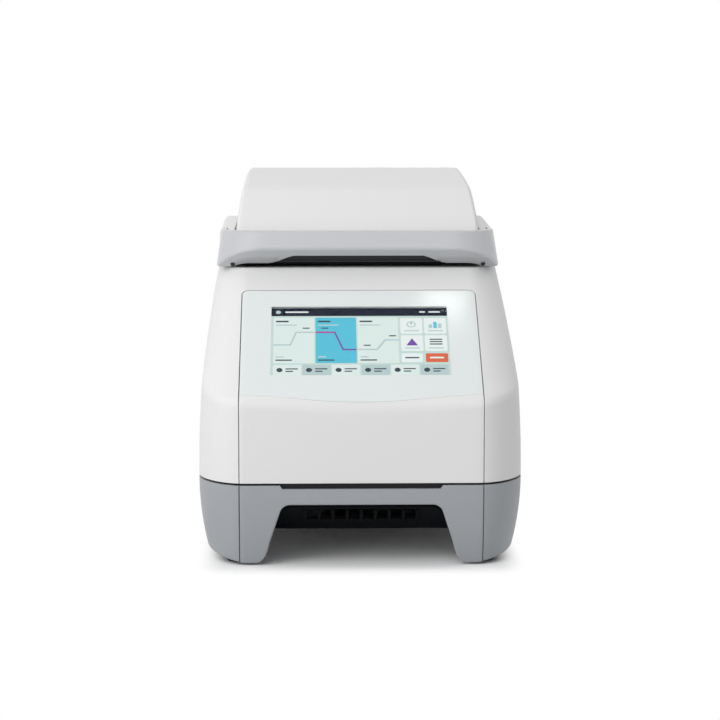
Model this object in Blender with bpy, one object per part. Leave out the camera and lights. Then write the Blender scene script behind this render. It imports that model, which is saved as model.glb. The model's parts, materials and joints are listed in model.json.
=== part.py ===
"""Benchtop thermal cycler built as separate pieces.

Lengths are in metres. The front faces -Y, +Z is up, and the origin is under the middle of the base.
"""

import math

import bmesh
import bpy
from mathutils import Vector

# Body
BODY_WIDTH = 0.275
BODY_DEPTH = 0.430
BASE_BOTTOM = 0.004
SEAM_HEIGHT = 0.071
DECK_HEIGHT = 0.241
DISPLAY_RISE = 0.101
SIDE_TAKE_IN = 0.0125
BASE_TAKE_IN = 0.0085
BASE_LEAN = 0.012
BASE_SIDE_LIFT = 0.005
CORNER_WIDTH = 0.039875
CORNER_DEPTH = 0.054
CORNER_POWER = 1.8
REAR_RADIUS = 0.018
EDGE_RADIUS = 0.003
WALL = 0.003
SEAM_GAP = 0.0008
FIT_GAP = 0.0003
DISPLAY_SLOPE_DEG = 36.0
CREASE_RADIUS = 0.016
CREASE_RISE = 0.009

# Front cover and display
PANEL_FROM_SIDE = 0.035475
GLASS_THICKNESS = 0.0022
GLASS_START = 0.0092
GLASS_BELOW_DECK = 0.03063146
GLASS_CORNER = 0.006
SCREEN_WIDTH = 0.152
SCREEN_LOW_MARGIN = 0.0233
SCREEN_TOP_MARGIN = 0.0217
FRAME_THICKNESS = 0.0025

# Front skirt, grille and feet
ARCH_TOP = 0.053
ARCH_TOP_FROM_SIDE = 0.069
ARCH_FOOT_FROM_SIDE = 0.0495
ARCH_RADIUS = 0.009
TUNNEL_DEPTH = 0.055
TUNNEL_WALL = 0.0025
SLOT_FROM_SIDE = 0.0695
SLOT_HEIGHT = 0.0025
PLATE_BOTTOM = 0.0255
PLATE_THICKNESS = 0.0025
GRILLE_THICKNESS = 0.0025
GRILLE_SLOTS = 8
GRILLE_PITCH = 0.0118
GRILLE_SLOT_WIDTH = 0.0088
FOOT_RADIUS = 0.0103
FOOT_STEM_RADIUS = 0.003
FRONT_FOOT_FROM_SIDE = 0.0375
FRONT_STEM_SHIFT = 0.0055
REAR_FOOT_FROM_SIDE = 0.0325
REAR_FOOT_FROM_REAR = 0.030
FRONT_FOOT_BACK = 0.026
PAD_HEIGHT = 0.005

# Sample block, cooling and fans
BLOCK_Y = 0.018
BLOCK_BELOW_DECK = 0.001
BLOCK_HEIGHT = 0.021
WELL_PITCH = 0.009
WELL_COLUMNS = 12
WELL_ROWS = 8
WELL_RADIUS = 0.0031
WELL_DEPTH = 0.0165
WELL_SIDES = 8
BLOCK_MARGIN = 0.004
PELTIER_THICKNESS = 0.0038
SINK_BASE = 0.010
SINK_FIN_HEIGHT = 0.052
SINK_FINS = 17
SINK_FIN_THICKNESS = 0.0018
FAN_SIZE = 0.080
FAN_DEPTH = 0.025
FAN_BORE_RADIUS = 0.038
FAN_HUB_RADIUS = 0.0155
FAN_BLADES = 7
DUCT_WALL = 0.002
REAR_PANEL_FROM_SIDE = 0.0275
REAR_PANEL_BOTTOM = 0.029
REAR_PANEL_BELOW_DECK = 0.015
REAR_PANEL_THICKNESS = 0.0025
INLET_FROM_PANEL_EDGE = 0.010
SWITCH_FROM_INLET = 0.046
SWITCH_Z = 0.052
SWITCH_TILT_DEG = 7.0
SUPPLY_FROM_SIDE = 0.0225
SUPPLY_WIDTH = 0.085
SUPPLY_FROM_BLOCK = 0.022
SUPPLY_HEIGHT = 0.041
BOARD_FROM_SIDE = 0.0195
BOARD_WIDTH = 0.113
BOARD_LENGTH = 0.1385
BOARD_FROM_REAR = 0.0065
BOARD_THICKNESS = 0.0016
BOARD_STANDOFF = 0.009
STUD_INSET = 0.005
STUD_RADIUS = 0.0025

# Lid, hinge and heated plate
LID_HEIGHT = 0.077
LID_ABOVE_DECK = 0.006
LID_DRAFT = 0.0053
LID_EDGE = 0.0045
LID_SIDE_GAP = 0.0015
LID_FRONT_SETBACK = 0.010
LID_CREASE_BACK = 0.051
LID_CREASE_DROP = 0.0165
HINGE_FROM_REAR = 0.019
HINGE_ABOVE_DECK = 0.0105
KNUCKLE_RADIUS = 0.0075
SHAFT_RADIUS = 0.004
HINGE_ARM_FROM_SIDE = 0.0463
HINGE_ARM_WIDTH = 0.014
HINGE_ARM_LENGTH = 0.070
FRAME_TOP_ABOVE_DECK = 0.011
PLATE_OVER_BLOCK = 0.0055
HEATED_PLATE_THICKNESS = 0.006
MAT_THICKNESS = 0.001
SPRING_LENGTH = 0.0146
SPRING_RADIUS = 0.0055
SPRING_WIRE = 0.0007
SPRING_TURNS = 4
COUNTER_WIRE = 0.0009
COUNTER_TURNS = 6
COUNTER_LENGTH = 0.030

# Handle and latch
BAIL_ABOVE_DECK = 0.033
BAIL_EDGE_ABOVE_DECK = 0.0172
BAIL_DRAFT = 0.0046
BAIL_CORNER = 0.040
BAIL_FRONT_OVERHANG = 0.0165
BAIL_FRONT_DRAFT = 0.0105
BAIL_UNDERCUT_DEG = 29.0
BAIL_SIDE_OVERHANG = 0.001
BAIL_GAP_HALF = 0.076
BAIL_LIP_HEIGHT = 0.0106
BAIL_LIP_DEPTH = 0.0135
BAIL_BACK = 0.056
BAIL_INNER_SETBACK = 0.0055
ARM_THICKNESS = 0.0087
ARM_END_RADIUS = 0.0165
PIVOT_BACK = 0.161
PIVOT_ABOVE_DECK = 0.021
PIN_RADIUS = 0.005
HOOK_THICKNESS = 0.004

FRONT = -BODY_DEPTH / 2
REAR = BODY_DEPTH / 2
HALF = BODY_WIDTH / 2
SLOPE = math.radians(DISPLAY_SLOPE_DEG)
CREASE_HEIGHT = DECK_HEIGHT - DISPLAY_RISE
FRONT_FLAT = HALF - CORNER_WIDTH
PANEL_HALF = HALF - PANEL_FROM_SIDE
DECK_HALF = HALF - SIDE_TAKE_IN
DECK_FRONT = FRONT + DISPLAY_RISE / math.tan(SLOPE)
GLASS_END = DISPLAY_RISE / math.sin(SLOPE) - GLASS_BELOW_DECK
SCREEN_START = GLASS_START + SCREEN_LOW_MARGIN
SCREEN_END = GLASS_END - SCREEN_TOP_MARGIN
ARCH_HALF_TOP = HALF - ARCH_TOP_FROM_SIDE
ARCH_HALF_FOOT = HALF - ARCH_FOOT_FROM_SIDE
SLOT_HALF_WIDTH = HALF - SLOT_FROM_SIDE
FRONT_FOOT = (HALF - FRONT_FOOT_FROM_SIDE, FRONT + BASE_LEAN + FRONT_FOOT_BACK)
REAR_FOOT = (HALF - REAR_FOOT_FROM_SIDE, REAR - REAR_FOOT_FROM_REAR)
REAR_PANEL_HALF = HALF - REAR_PANEL_FROM_SIDE
REAR_PANEL_TOP = DECK_HEIGHT - REAR_PANEL_BELOW_DECK
BLOCK_TOP = DECK_HEIGHT - BLOCK_BELOW_DECK
LID_BOTTOM = DECK_HEIGHT + LID_ABOVE_DECK
LID_TOP = LID_BOTTOM + LID_HEIGHT
BAIL_TOP = DECK_HEIGHT + BAIL_ABOVE_DECK
BAIL_EDGE_HEIGHT = DECK_HEIGHT + BAIL_EDGE_ABOVE_DECK
TUNNEL_END = FRONT + TUNNEL_DEPTH
PLATE_TOP = PLATE_BOTTOM + PLATE_THICKNESS
BLOCK_HALF_X = WELL_PITCH * WELL_COLUMNS / 2 + BLOCK_MARGIN
BLOCK_HALF_Y = WELL_PITCH * WELL_ROWS / 2 + BLOCK_MARGIN
BLOCK_BOTTOM = BLOCK_TOP - BLOCK_HEIGHT
PELTIER_TOP = BLOCK_BOTTOM - FIT_GAP
SINK_TOP = PELTIER_TOP - PELTIER_THICKNESS - FIT_GAP
SINK_HALF_X = BLOCK_HALF_X + 0.004
SINK_HALF_Y = BLOCK_HALF_Y + 0.005
FAN_Z = SINK_TOP - SINK_BASE - SINK_FIN_HEIGHT / 2 - 0.004
FAN_X = FAN_SIZE / 2 + 0.003
FAN_BACK = REAR - REAR_PANEL_THICKNESS - FIT_GAP
LID_FRONT = DECK_FRONT + LID_FRONT_SETBACK
HINGE_Y = REAR - HINGE_FROM_REAR
HINGE_Z = DECK_HEIGHT + HINGE_ABOVE_DECK
LID_REAR = HINGE_Y - 0.010
BAIL_HALF = DECK_HALF + BAIL_SIDE_OVERHANG
ARM_OUTER = BAIL_HALF - 0.0065
ARM_INNER = ARM_OUTER - ARM_THICKNESS
BAIL_INNER = ARM_INNER + 0.0063
LID_HALF = ARM_INNER - LID_SIDE_GAP
HINGE_ARM_X = LID_HALF - HINGE_ARM_FROM_SIDE
FRAME_BOTTOM = DECK_HEIGHT + 0.004
FRAME_TOP = DECK_HEIGHT + FRAME_TOP_ABOVE_DECK
PLATE_REST = BLOCK_TOP + PLATE_OVER_BLOCK
MAT_BOTTOM = PLATE_REST + HEATED_PLATE_THICKNESS + FIT_GAP
SPRING_BOTTOM = MAT_BOTTOM + MAT_THICKNESS + FIT_GAP + SPRING_WIRE
BRIDGE_BOTTOM = SPRING_BOTTOM + SPRING_LENGTH + SPRING_WIRE + FIT_GAP
PIVOT_Y = LID_FRONT + PIVOT_BACK
PIVOT_Z = DECK_HEIGHT + PIVOT_ABOVE_DECK
INLET_LEFT = -REAR_PANEL_HALF + INLET_FROM_PANEL_EDGE
SWITCH_X = INLET_LEFT + SWITCH_FROM_INLET
SWITCH_Y = REAR - 0.0067
BOARD_BOTTOM = PLATE_TOP + BOARD_STANDOFF
BOARD_RIGHT = HALF - BOARD_FROM_SIDE
BOARD_LEFT = BOARD_RIGHT - BOARD_WIDTH
BOARD_REAR = REAR - BOARD_FROM_REAR
BOARD_FRONT = BOARD_REAR - BOARD_LENGTH


def material(name, colour, roughness, metallic=0.0):
    """Make a named plain material."""
    made = bpy.data.materials.new(name)
    made.use_nodes = True
    shader = made.node_tree.nodes["Principled BSDF"]
    shader.inputs["Base Color"].default_value = (*colour, 1.0)
    shader.inputs["Roughness"].default_value = roughness
    shader.inputs["Metallic"].default_value = metallic
    made.diffuse_color = (*colour, 1.0)
    return made


def solid(name, verts, faces):
    """Make an object from points and faces, with its normals outward."""
    mesh = bpy.data.meshes.new(name)
    mesh.from_pydata([tuple(point) for point in verts], [], faces)
    form = bmesh.new()
    form.from_mesh(mesh)
    bmesh.ops.recalc_face_normals(form, faces=form.faces)
    form.to_mesh(mesh)
    form.free()
    item = bpy.data.objects.new(name, mesh)
    bpy.context.collection.objects.link(item)
    return item


def loft(name, rings):
    """Make a capped solid through rings that have the same number of points."""
    count = len(rings[0])
    verts = [point for ring in rings for point in ring]
    faces = []
    for level in range(len(rings) - 1):
        low = level * count
        for step in range(count):
            following = (step + 1) % count
            faces.append((low + step, low + following, low + count + following, low + count + step))
    faces.append(tuple(range(count)))
    faces.append(tuple(range(len(verts) - count, len(verts))))
    return solid(name, verts, faces)


def placed(axis, first, second, along):
    """Place a point of a profile: X takes (y, z), Y takes (x, z) and Z takes (x, y)."""
    if axis == "X":
        return Vector((along, first, second))
    if axis == "Y":
        return Vector((first, along, second))
    return Vector((first, second, along))


def prism(name, profile, axis, start, end):
    """Extrude a closed profile along one axis."""
    return loft(name, [[placed(axis, a, b, along) for a, b in profile] for along in (start, end)])


def rectangle(left, bottom, right, top):
    """Return the four corners of a rectangle."""
    return [(left, bottom), (right, bottom), (right, top), (left, top)]


def rounded(left, bottom, right, top, low_radius, high_radius, steps=4):
    """Return a rectangle with one corner radius at the bottom and one at the top."""
    corners = [
        (right, bottom, low_radius, -90.0), (right, top, high_radius, 0.0),
        (left, top, high_radius, 90.0), (left, bottom, low_radius, 180.0),
    ]
    points = []
    for x, y, radius, start in corners:
        centre_x = x - math.copysign(radius, x - (left + right) / 2)
        centre_y = y - math.copysign(radius, y - (bottom + top) / 2)
        for step in range(steps + 1):
            angle = math.radians(start + 90.0 * step / steps)
            points.append((centre_x + radius * math.cos(angle), centre_y + radius * math.sin(angle)))
    return points


def circle(first, second, radius, sides, turn=0.0):
    """Return the points of a regular polygon round a centre."""
    angles = [turn + 2 * math.pi * step / sides for step in range(sides)]
    return [(first + radius * math.cos(angle), second + radius * math.sin(angle)) for angle in angles]


def arc(first, second, radius, start, end, steps):
    """Return points along an arc, with the angles in degrees."""
    angles = [math.radians(start + (end - start) * step / steps) for step in range(steps + 1)]
    return [(first + radius * math.cos(angle), second + radius * math.sin(angle)) for angle in angles]


def bend(start, control, end, steps):
    """Return points along a quadratic curve, without its start."""
    points = []
    for step in range(1, steps + 1):
        part = step / steps
        weights = ((1 - part) ** 2, 2 * part * (1 - part), part ** 2)
        points.append(tuple(
            weights[0] * start[i] + weights[1] * control[i] + weights[2] * end[i] for i in (0, 1)
        ))
    return points


def box(name, low, high):
    """Make a box from its lowest and highest corner."""
    return prism(name, rectangle(low[0], low[1], high[0], high[1]), "Z", low[2], high[2])


def boxes(name, corners):
    """Make one object of several separate boxes, for cutting."""
    verts = []
    faces = []
    for low, high in corners:
        first = len(verts)
        for z in (low[2], high[2]):
            verts += [(x, y, z) for x, y in rectangle(low[0], low[1], high[0], high[1])]
        sides = ((0, 1, 2, 3), (4, 5, 6, 7), (0, 1, 5, 4), (1, 2, 6, 5), (2, 3, 7, 6), (3, 0, 4, 7))
        faces += [tuple(first + corner for corner in side) for side in sides]
    return solid(name, verts, faces)


def combine(item, other, how):
    """Apply one boolean and drop the second object."""
    step = item.modifiers.new(how, "BOOLEAN")
    step.operation = how
    step.solver = "EXACT"
    step.object = other
    bpy.context.view_layer.update()
    graph = bpy.context.evaluated_depsgraph_get()
    shaped = bpy.data.meshes.new_from_object(item.evaluated_get(graph))
    item.modifiers.remove(step)
    item.data = shaped
    bpy.data.objects.remove(other, do_unlink=True)
    return item


def cut(item, *others):
    """Take solids away from an object."""
    for other in others:
        combine(item, other, "DIFFERENCE")
    return item


def join(item, *others):
    """Add solids to an object."""
    for other in others:
        combine(item, other, "UNION")
    return item


def keep(item, other):
    """Keep only what lies inside another solid."""
    return combine(item, other, "INTERSECT")


def finish(item, paint):
    """Give an object its material."""
    item.data.materials.clear()
    item.data.materials.append(paint)
    for face in item.data.polygons:
        face.material_index = 0
    return item


def mirrored(item, name):
    """Make the left twin of a right-hand piece."""
    twin = bpy.data.objects.new(name, item.data.copy())
    bpy.context.collection.objects.link(twin)
    form = bmesh.new()
    form.from_mesh(twin.data)
    for vert in form.verts:
        vert.co.x = -vert.co.x
    bmesh.ops.reverse_faces(form, faces=form.faces)
    form.to_mesh(twin.data)
    form.free()
    return twin


def hang(joint_name, place, *items):
    """Set moving pieces under an empty that stands on their joint's axis."""
    axis = bpy.data.objects.new(joint_name, None)
    axis.location = place
    bpy.context.collection.objects.link(axis)
    bpy.context.view_layer.update()
    for item in items:
        item.parent = axis
        item.matrix_parent_inverse = axis.matrix_world.inverted()


def side_at(height):
    """Half width of the body at a height."""
    if height >= SEAM_HEIGHT:
        share = (height - SEAM_HEIGHT) / (DECK_HEIGHT - SEAM_HEIGHT)
        return HALF - SIDE_TAKE_IN * share ** 2
    share = (SEAM_HEIGHT - height) / (SEAM_HEIGHT - BASE_BOTTOM)
    return HALF - BASE_TAKE_IN * share ** 2


def base_front_at(height):
    """Front of the grey base at a height: it leans back towards the floor."""
    share = (SEAM_HEIGHT - height) / (SEAM_HEIGHT - BASE_BOTTOM)
    return FRONT + BASE_LEAN * share ** 2


def body_ring(height, half, front, inset, lift=0.0):
    """One plan outline of the body, with eased front corners; lift raises it past them."""
    rear = REAR - inset
    depth = CORNER_DEPTH - inset
    radius = REAR_RADIUS - inset
    reach = half - FRONT_FLAT
    right = []
    for step in range(9):
        angle = math.pi / 2 * step / 8
        across = math.sin(angle) ** (2 / CORNER_POWER)
        back = max(math.cos(angle), 0.0) ** (2 / CORNER_POWER)
        spot = (FRONT_FLAT + reach * across, front + depth * (1 - back), height + lift * (1 - back))
        right.append(spot)
    right += [(x, y, height + lift) for x, y in arc(half - radius, rear - radius, radius, 0, 90, 3)]
    return [Vector(point) for point in right] + [Vector((-x, y, z)) for x, y, z in reversed(right)]


def upper_body(name, inset, bottom):
    """The white body as a block, drawn in by an inset all round."""
    radius = CREASE_RADIUS - inset
    turn = math.pi / 2 - SLOPE
    centre_y = FRONT + CREASE_RADIUS
    centre_z = CREASE_HEIGHT - CREASE_RADIUS * math.tan(turn / 2)
    levels = [(FRONT + inset, bottom), (FRONT + inset, (bottom + centre_z) / 2)]
    for step in range(5):
        angle = turn * step / 4
        levels.append((centre_y - radius * math.cos(angle), centre_z + radius * math.sin(angle)))
    start = levels[-1][1]
    top = DECK_HEIGHT - max(inset, EDGE_RADIUS)
    for step in range(1, 6):
        height = start + (top - start) * step / 5
        slope_y = FRONT + (height - CREASE_HEIGHT) / math.tan(SLOPE)
        levels.append((slope_y + inset / math.sin(SLOPE), height))
    rings = []
    for index, (y, z) in enumerate(levels):
        lift = CREASE_RISE * min(max(index - 1, 0), 1) * min((top - z) / (top - start), 1.0)
        rings.append(body_ring(z, side_at(z + lift) - inset, y, inset, lift))
    if inset < EDGE_RADIUS:
        front = levels[-1][0]
        for part in (0.5, 1.0):
            drawn = EDGE_RADIUS * (1 - math.sqrt(1 - part ** 2))
            height = DECK_HEIGHT - EDGE_RADIUS * (1 - part)
            rise = EDGE_RADIUS * part / math.tan(SLOPE)
            half = side_at(height) - inset - drawn
            rings.append(body_ring(height, half, front + rise + drawn / 2, inset + drawn))
    return loft(name, rings)


def lower_body(name, inset, bottom, top, side_lift=BASE_SIDE_LIFT):
    """The grey base as a block, drawn in by an inset all round, its lower edge raised past the legs."""
    edge = 0.0015 if inset == 0 else 0.0
    levels = [(bottom, edge)] if edge else []
    for part in (0.0, 0.25, 0.5, 0.75, 1.0):
        levels.append((bottom + edge + (top - bottom - edge) * part, inset))
    rings = []
    for height, drawn in levels:
        lift = side_lift * max(SEAM_HEIGHT - height, 0.0) / (SEAM_HEIGHT - BASE_BOTTOM)
        half = side_at(height + lift) - drawn
        rings.append(body_ring(height, half, base_front_at(height) + drawn, drawn, lift))
    return loft(name, rings)


def on_slope(x, along, out):
    """A point on the display slope: along runs up it and out stands off it."""
    y = FRONT + along * math.cos(SLOPE) - out * math.sin(SLOPE)
    return Vector((x, y, CREASE_HEIGHT + along * math.sin(SLOPE) + out * math.cos(SLOPE)))


def slope_prism(name, profile, low, high):
    """Extrude a profile square to the display slope."""
    return loft(name, [[on_slope(x, along, out) for x, along in profile] for out in (low, high)])


def glass_outline(grow):
    """Outline of the display glass on its slope."""
    half = PANEL_HALF - SEAM_GAP / 2 + grow
    return rounded(-half, GLASS_START - grow, half, GLASS_END + grow, 0.0008, GLASS_CORNER + grow)


def panel_zone(name, shrink):
    """The space that the white front cover takes below the display glass."""
    deep = FRONT + 4 * WALL
    edge = GLASS_START - SEAM_GAP / 2 - shrink
    inner = on_slope(0, edge, -4 * WALL)
    outer = on_slope(0, edge, 6 * WALL)
    low = SEAM_HEIGHT + SEAM_GAP / 2 if shrink else SEAM_HEIGHT - 0.01
    profile = [
        (FRONT - 0.03, low), (deep, low), (deep, inner.z - WALL), (inner.y, inner.z),
        (outer.y, outer.z), (FRONT - 0.03, outer.z),
    ]
    half = PANEL_HALF + SEAM_GAP / 2 - shrink
    return prism(name, profile, "X", -half, half)


def arch_outline(grow, bottom):
    """Outline of the air arch in the front skirt, in X and Z."""
    centre = ARCH_HALF_TOP - ARCH_RADIUS
    right = arc(centre, ARCH_TOP - ARCH_RADIUS, ARCH_RADIUS + grow, 90, 12, 5)
    knee = (ARCH_HALF_TOP + 0.46 * (ARCH_HALF_FOOT - ARCH_HALF_TOP) + grow, 0.36 * ARCH_TOP)
    foot = (ARCH_HALF_FOOT + grow, BASE_BOTTOM)
    control = (ARCH_HALF_TOP + 0.66 * (ARCH_HALF_FOOT - ARCH_HALF_TOP) + grow, 0.14 * ARCH_TOP)
    right += [knee] + bend(knee, control, foot, 3) + [(foot[0], bottom)]
    return right + [(-x, z) for x, z in reversed(right)]


def grille_point(x, height, out):
    """A point on the slanted intake grille, which falls from the arch to the base plate."""
    top = Vector((0, base_front_at(ARCH_TOP) + WALL + 0.001, ARCH_TOP - FIT_GAP))
    low = Vector((0, TUNNEL_END - 0.001, PLATE_BOTTOM))
    share = (top.z - height) / (top.z - low.z)
    fall = (low - top).normalized()
    square = Vector((0, fall.z, -fall.y))
    spot = top.lerp(low, share) - square * out
    return Vector((x, spot.y, spot.z))


def lid_half(height):
    """Half width of the lid at a height."""
    share = (height - LID_BOTTOM) / (LID_TOP - LID_BOTTOM)
    return LID_HALF - LID_DRAFT * share ** 2


def lid_profile():
    """Side outline of the lid, from the front bottom over the top to the rear bottom."""
    crease = (LID_FRONT + LID_CREASE_BACK, LID_TOP - LID_CREASE_DROP)
    rise = LID_TOP - LID_BOTTOM
    points = [(LID_FRONT, LID_BOTTOM)]
    points += bend((LID_FRONT, LID_BOTTOM), (LID_FRONT + 0.002, LID_BOTTOM + 0.30 * rise),
                   (LID_FRONT + 0.022, LID_BOTTOM + 0.53 * rise), 3)
    points += bend(points[-1], (LID_FRONT + 0.037, LID_BOTTOM + 0.70 * rise), crease, 3)
    ridge = (LID_FRONT + 0.175, LID_TOP)
    points += bend(crease, (LID_FRONT + 0.085, LID_TOP - 0.002), ridge, 5)
    points += bend(ridge, (LID_REAR - 0.004, LID_TOP), (LID_REAR - 0.002, LID_BOTTOM + 0.52 * rise), 6)
    points += [(LID_REAR, LID_BOTTOM + 0.30 * rise), (LID_REAR, LID_BOTTOM)]
    return points


def drawn_in(points, inset):
    """Move an open profile inwards, keeping its two ends on their own height."""
    moved = []
    for index, point in enumerate(points):
        before = points[max(index - 1, 0)]
        after = points[min(index + 1, len(points) - 1)]
        run = Vector((after[0] - before[0], after[1] - before[1])).normalized()
        moved.append((point[0] + run.y * inset, point[1] - run.x * inset))
    moved[0] = (moved[0][0], points[0][1])
    moved[-1] = (moved[-1][0], points[-1][1])
    return moved


def lid_block(name, inset, bottom):
    """The lid as a block with eased side edges."""
    profile = drawn_in(lid_profile(), inset) if inset else lid_profile()
    if bottom < LID_BOTTOM:
        profile = [(profile[0][0], bottom)] + profile + [(profile[-1][0], bottom)]
    count = len(profile)
    rings = []
    for side in (-1, 1):
        rings.append([Vector((side * (lid_half(z) - inset), y, z)) for y, z in profile])
    item = loft(name, rings)
    form = bmesh.new()
    form.from_mesh(item.data)
    form.verts.ensure_lookup_table()
    chosen = []
    for edge in form.edges:
        first, second = sorted(vert.index for vert in edge.verts)
        same = first // count == second // count
        if same and second - first == 1:
            chosen.append(edge)
    bmesh.ops.bevel(form, geom=chosen, offset=LID_EDGE - inset, offset_type="OFFSET", segments=3,
                    profile=0.5, affect="EDGES", clamp_overlap=False)
    bmesh.ops.recalc_face_normals(form, faces=form.faces)
    form.to_mesh(item.data)
    form.free()
    return item


def wire(name, points, radius, sides=6):
    """A closed tube along points, and its least gap to itself on points more than a turn apart."""
    rings = []
    for index, point in enumerate(points):
        before = points[max(index - 1, 0)]
        after = points[min(index + 1, len(points) - 1)]
        run = (after - before).normalized()
        across = run.orthogonal().normalized()
        if rings:
            across = (last_across - run * last_across.dot(run)).normalized()
        last_across = across
        third = run.cross(across)
        ring = []
        for step in range(sides):
            angle = 2 * math.pi * step / sides
            ring.append(point + radius * (across * math.cos(angle) + third * math.sin(angle)))
        rings.append(ring)
    least = 1.0
    for index, point in enumerate(points):
        for other in points[index + 5:]:
            least = min(least, (point - other).length - 2 * radius)
    print(f"{name}: least gap to itself {least * 1000:.2f} mm")
    return loft(name, rings)


def make_base(paint):
    """The grey base: side cover, front skirt, intake grille, base plate and feet."""
    top = SEAM_HEIGHT - SEAM_GAP / 2
    shell = lower_body("lower_housing", 0.0, BASE_BOTTOM, top)
    cut(shell, lower_body("core", WALL, BASE_BOTTOM - 0.002, top + 0.002))
    skirt = bpy.data.objects.new("front_skirt", shell.data.copy())
    bpy.context.collection.objects.link(skirt)

    wide = PANEL_HALF + SEAM_GAP / 2
    deep = FRONT + BASE_LEAN + 4 * WALL
    cut(shell, box("zone", (-wide, FRONT - 0.01, 0), (wide, deep, SEAM_HEIGHT + 0.01)))
    opening = REAR_PANEL_HALF + FIT_GAP
    cut(shell, box("rear", (-opening, REAR - 0.02, REAR_PANEL_BOTTOM - FIT_GAP),
                   (opening, REAR + 0.01, SEAM_HEIGHT + 0.01)))
    pad_high = BASE_BOTTOM + PAD_HEIGHT
    side_low = BASE_BOTTOM + BASE_SIDE_LIFT
    for side in (-1, 1):
        pad = box("pad", (side * REAR_FOOT[0] - 0.03, REAR_FOOT[1] - 0.02, side_low + 0.0004),
                  (side * REAR_FOOT[0] + 0.03, REAR, side_low + PAD_HEIGHT))
        keep(pad, lower_body("inside", WALL / 2, BASE_BOTTOM - 0.001, SEAM_HEIGHT, 0.0))
        hole = prism("stem", circle(side * REAR_FOOT[0], REAR_FOOT[1], FOOT_STEM_RADIUS + FIT_GAP, 10),
                     "Z", 0, 2 * side_low + PAD_HEIGHT)
        join(shell, cut(pad, hole))
        near, far = sorted((side * (wide + 0.0003), side * HALF))
        leg = box("leg", (near, FRONT, side_low + 0.0004), (far, TUNNEL_END, side_low + PAD_HEIGHT))
        join(leg, box("riser", (near + 0.0002, TUNNEL_END - TUNNEL_WALL, side_low + 0.0009),
                      (far, TUNNEL_END - 0.0002, PLATE_TOP)))
        join(shell, keep(leg, lower_body("inside", WALL / 2, BASE_BOTTOM - 0.001, SEAM_HEIGHT, 0.0)))
    finish(shell, paint["grey"])

    wide -= SEAM_GAP
    keep(skirt, box("zone", (-wide, FRONT - 0.01, 0), (wide, deep - WALL, SEAM_HEIGHT + 0.01)))
    tunnel = prism("tunnel", arch_outline(TUNNEL_WALL, BASE_BOTTOM), "Y", FRONT, TUNNEL_END)
    keep(tunnel, lower_body("inside", WALL / 2, BASE_BOTTOM - 0.001, SEAM_HEIGHT, 0.0))
    leg_low = ARCH_HALF_TOP + 0.5 * (ARCH_HALF_FOOT - ARCH_HALF_TOP)
    pads = []
    for side in (-1, 1):
        near, far = sorted((side * leg_low, side * (wide - 0.0003)))
        pad = box("pad", (near, FRONT, BASE_BOTTOM + 0.0004), (far, TUNNEL_END, pad_high))
        join(pad, box("riser", (near + 0.0002, TUNNEL_END - TUNNEL_WALL, BASE_BOTTOM + 0.0009),
                      (far - 0.0002, TUNNEL_END - 0.0002, PLATE_TOP)))
        keep(pad, lower_body("inside", WALL / 2, BASE_BOTTOM - 0.001, SEAM_HEIGHT, 0.0))
        pads.append(pad)
    join(skirt, tunnel, *pads)
    cut(skirt, prism("arch", arch_outline(0.0, -0.01), "Y", FRONT - 0.02, TUNNEL_END + 0.01))
    for side in (-1, 1):
        stem_x = side * (FRONT_FOOT[0] - FRONT_STEM_SHIFT)
        hole = circle(stem_x, FRONT_FOOT[1], FOOT_STEM_RADIUS + FIT_GAP, 10)
        cut(skirt, prism("stem", hole, "Z", 0, 2 * pad_high))
    cut(skirt, box("slot", (-SLOT_HALF_WIDTH, FRONT - 0.01, top - SLOT_HEIGHT),
                   (SLOT_HALF_WIDTH, FRONT + 3 * WALL, top + 0.01)))
    finish(skirt, paint["grey"])

    right = [(x, z) for x, z in arch_outline(-FIT_GAP, 0.0) if x > 0]
    (near, high), (far, low) = [point for point in right if point[1] < ARCH_TOP - ARCH_RADIUS + 0.003][:2]
    share = (high - PLATE_BOTTOM) / (high - low)
    outline = [point for point in right if point[1] > PLATE_BOTTOM]
    outline.append((near + (far - near) * share, PLATE_BOTTOM))
    outline += [(-x, z) for x, z in reversed(outline)]
    grille = loft("intake_grille", [
        [grille_point(x, z, out) for x, z in outline] for out in (-GRILLE_THICKNESS, 0.0)
    ])
    span = ARCH_TOP - PLATE_BOTTOM
    verts = []
    faces = []
    for index in range(GRILLE_SLOTS):
        middle = (index - (GRILLE_SLOTS - 1) / 2) * GRILLE_PITCH
        first = len(verts)
        for out in (-3 * GRILLE_THICKNESS, 2 * GRILLE_THICKNESS):
            for x, share in ((-1, 0.05), (1, 0.05), (1, 0.52), (-1, 0.52)):
                spot = middle + x * GRILLE_SLOT_WIDTH / 2
                verts.append(grille_point(spot, ARCH_TOP - share * span, out))
        sides = ((0, 1, 2, 3), (4, 5, 6, 7), (0, 1, 5, 4), (1, 2, 6, 5), (2, 3, 7, 6), (3, 0, 4, 7))
        faces += [tuple(first + corner for corner in side) for side in sides]
    cut(grille, solid("slots", verts, faces))
    finish(grille, paint["black"])

    half = side_at(PLATE_BOTTOM) - WALL - 0.0008
    plate = prism("base_plate", rounded(-half, TUNNEL_END + FIT_GAP, half, REAR - WALL - 0.0005, 0.002,
                                        REAR_RADIUS), "Z", PLATE_BOTTOM, PLATE_TOP)
    for x in (BOARD_LEFT + STUD_INSET, BOARD_RIGHT - STUD_INSET):
        for y in (BOARD_FRONT + STUD_INSET, BOARD_REAR - STUD_INSET - 0.001):
            stud = circle(x, y, STUD_RADIUS, 6)
            join(plate, prism("stud", stud, "Z", PLATE_TOP - 0.001, BOARD_BOTTOM - FIT_GAP))
    finish(plate, paint["steel"])

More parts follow.
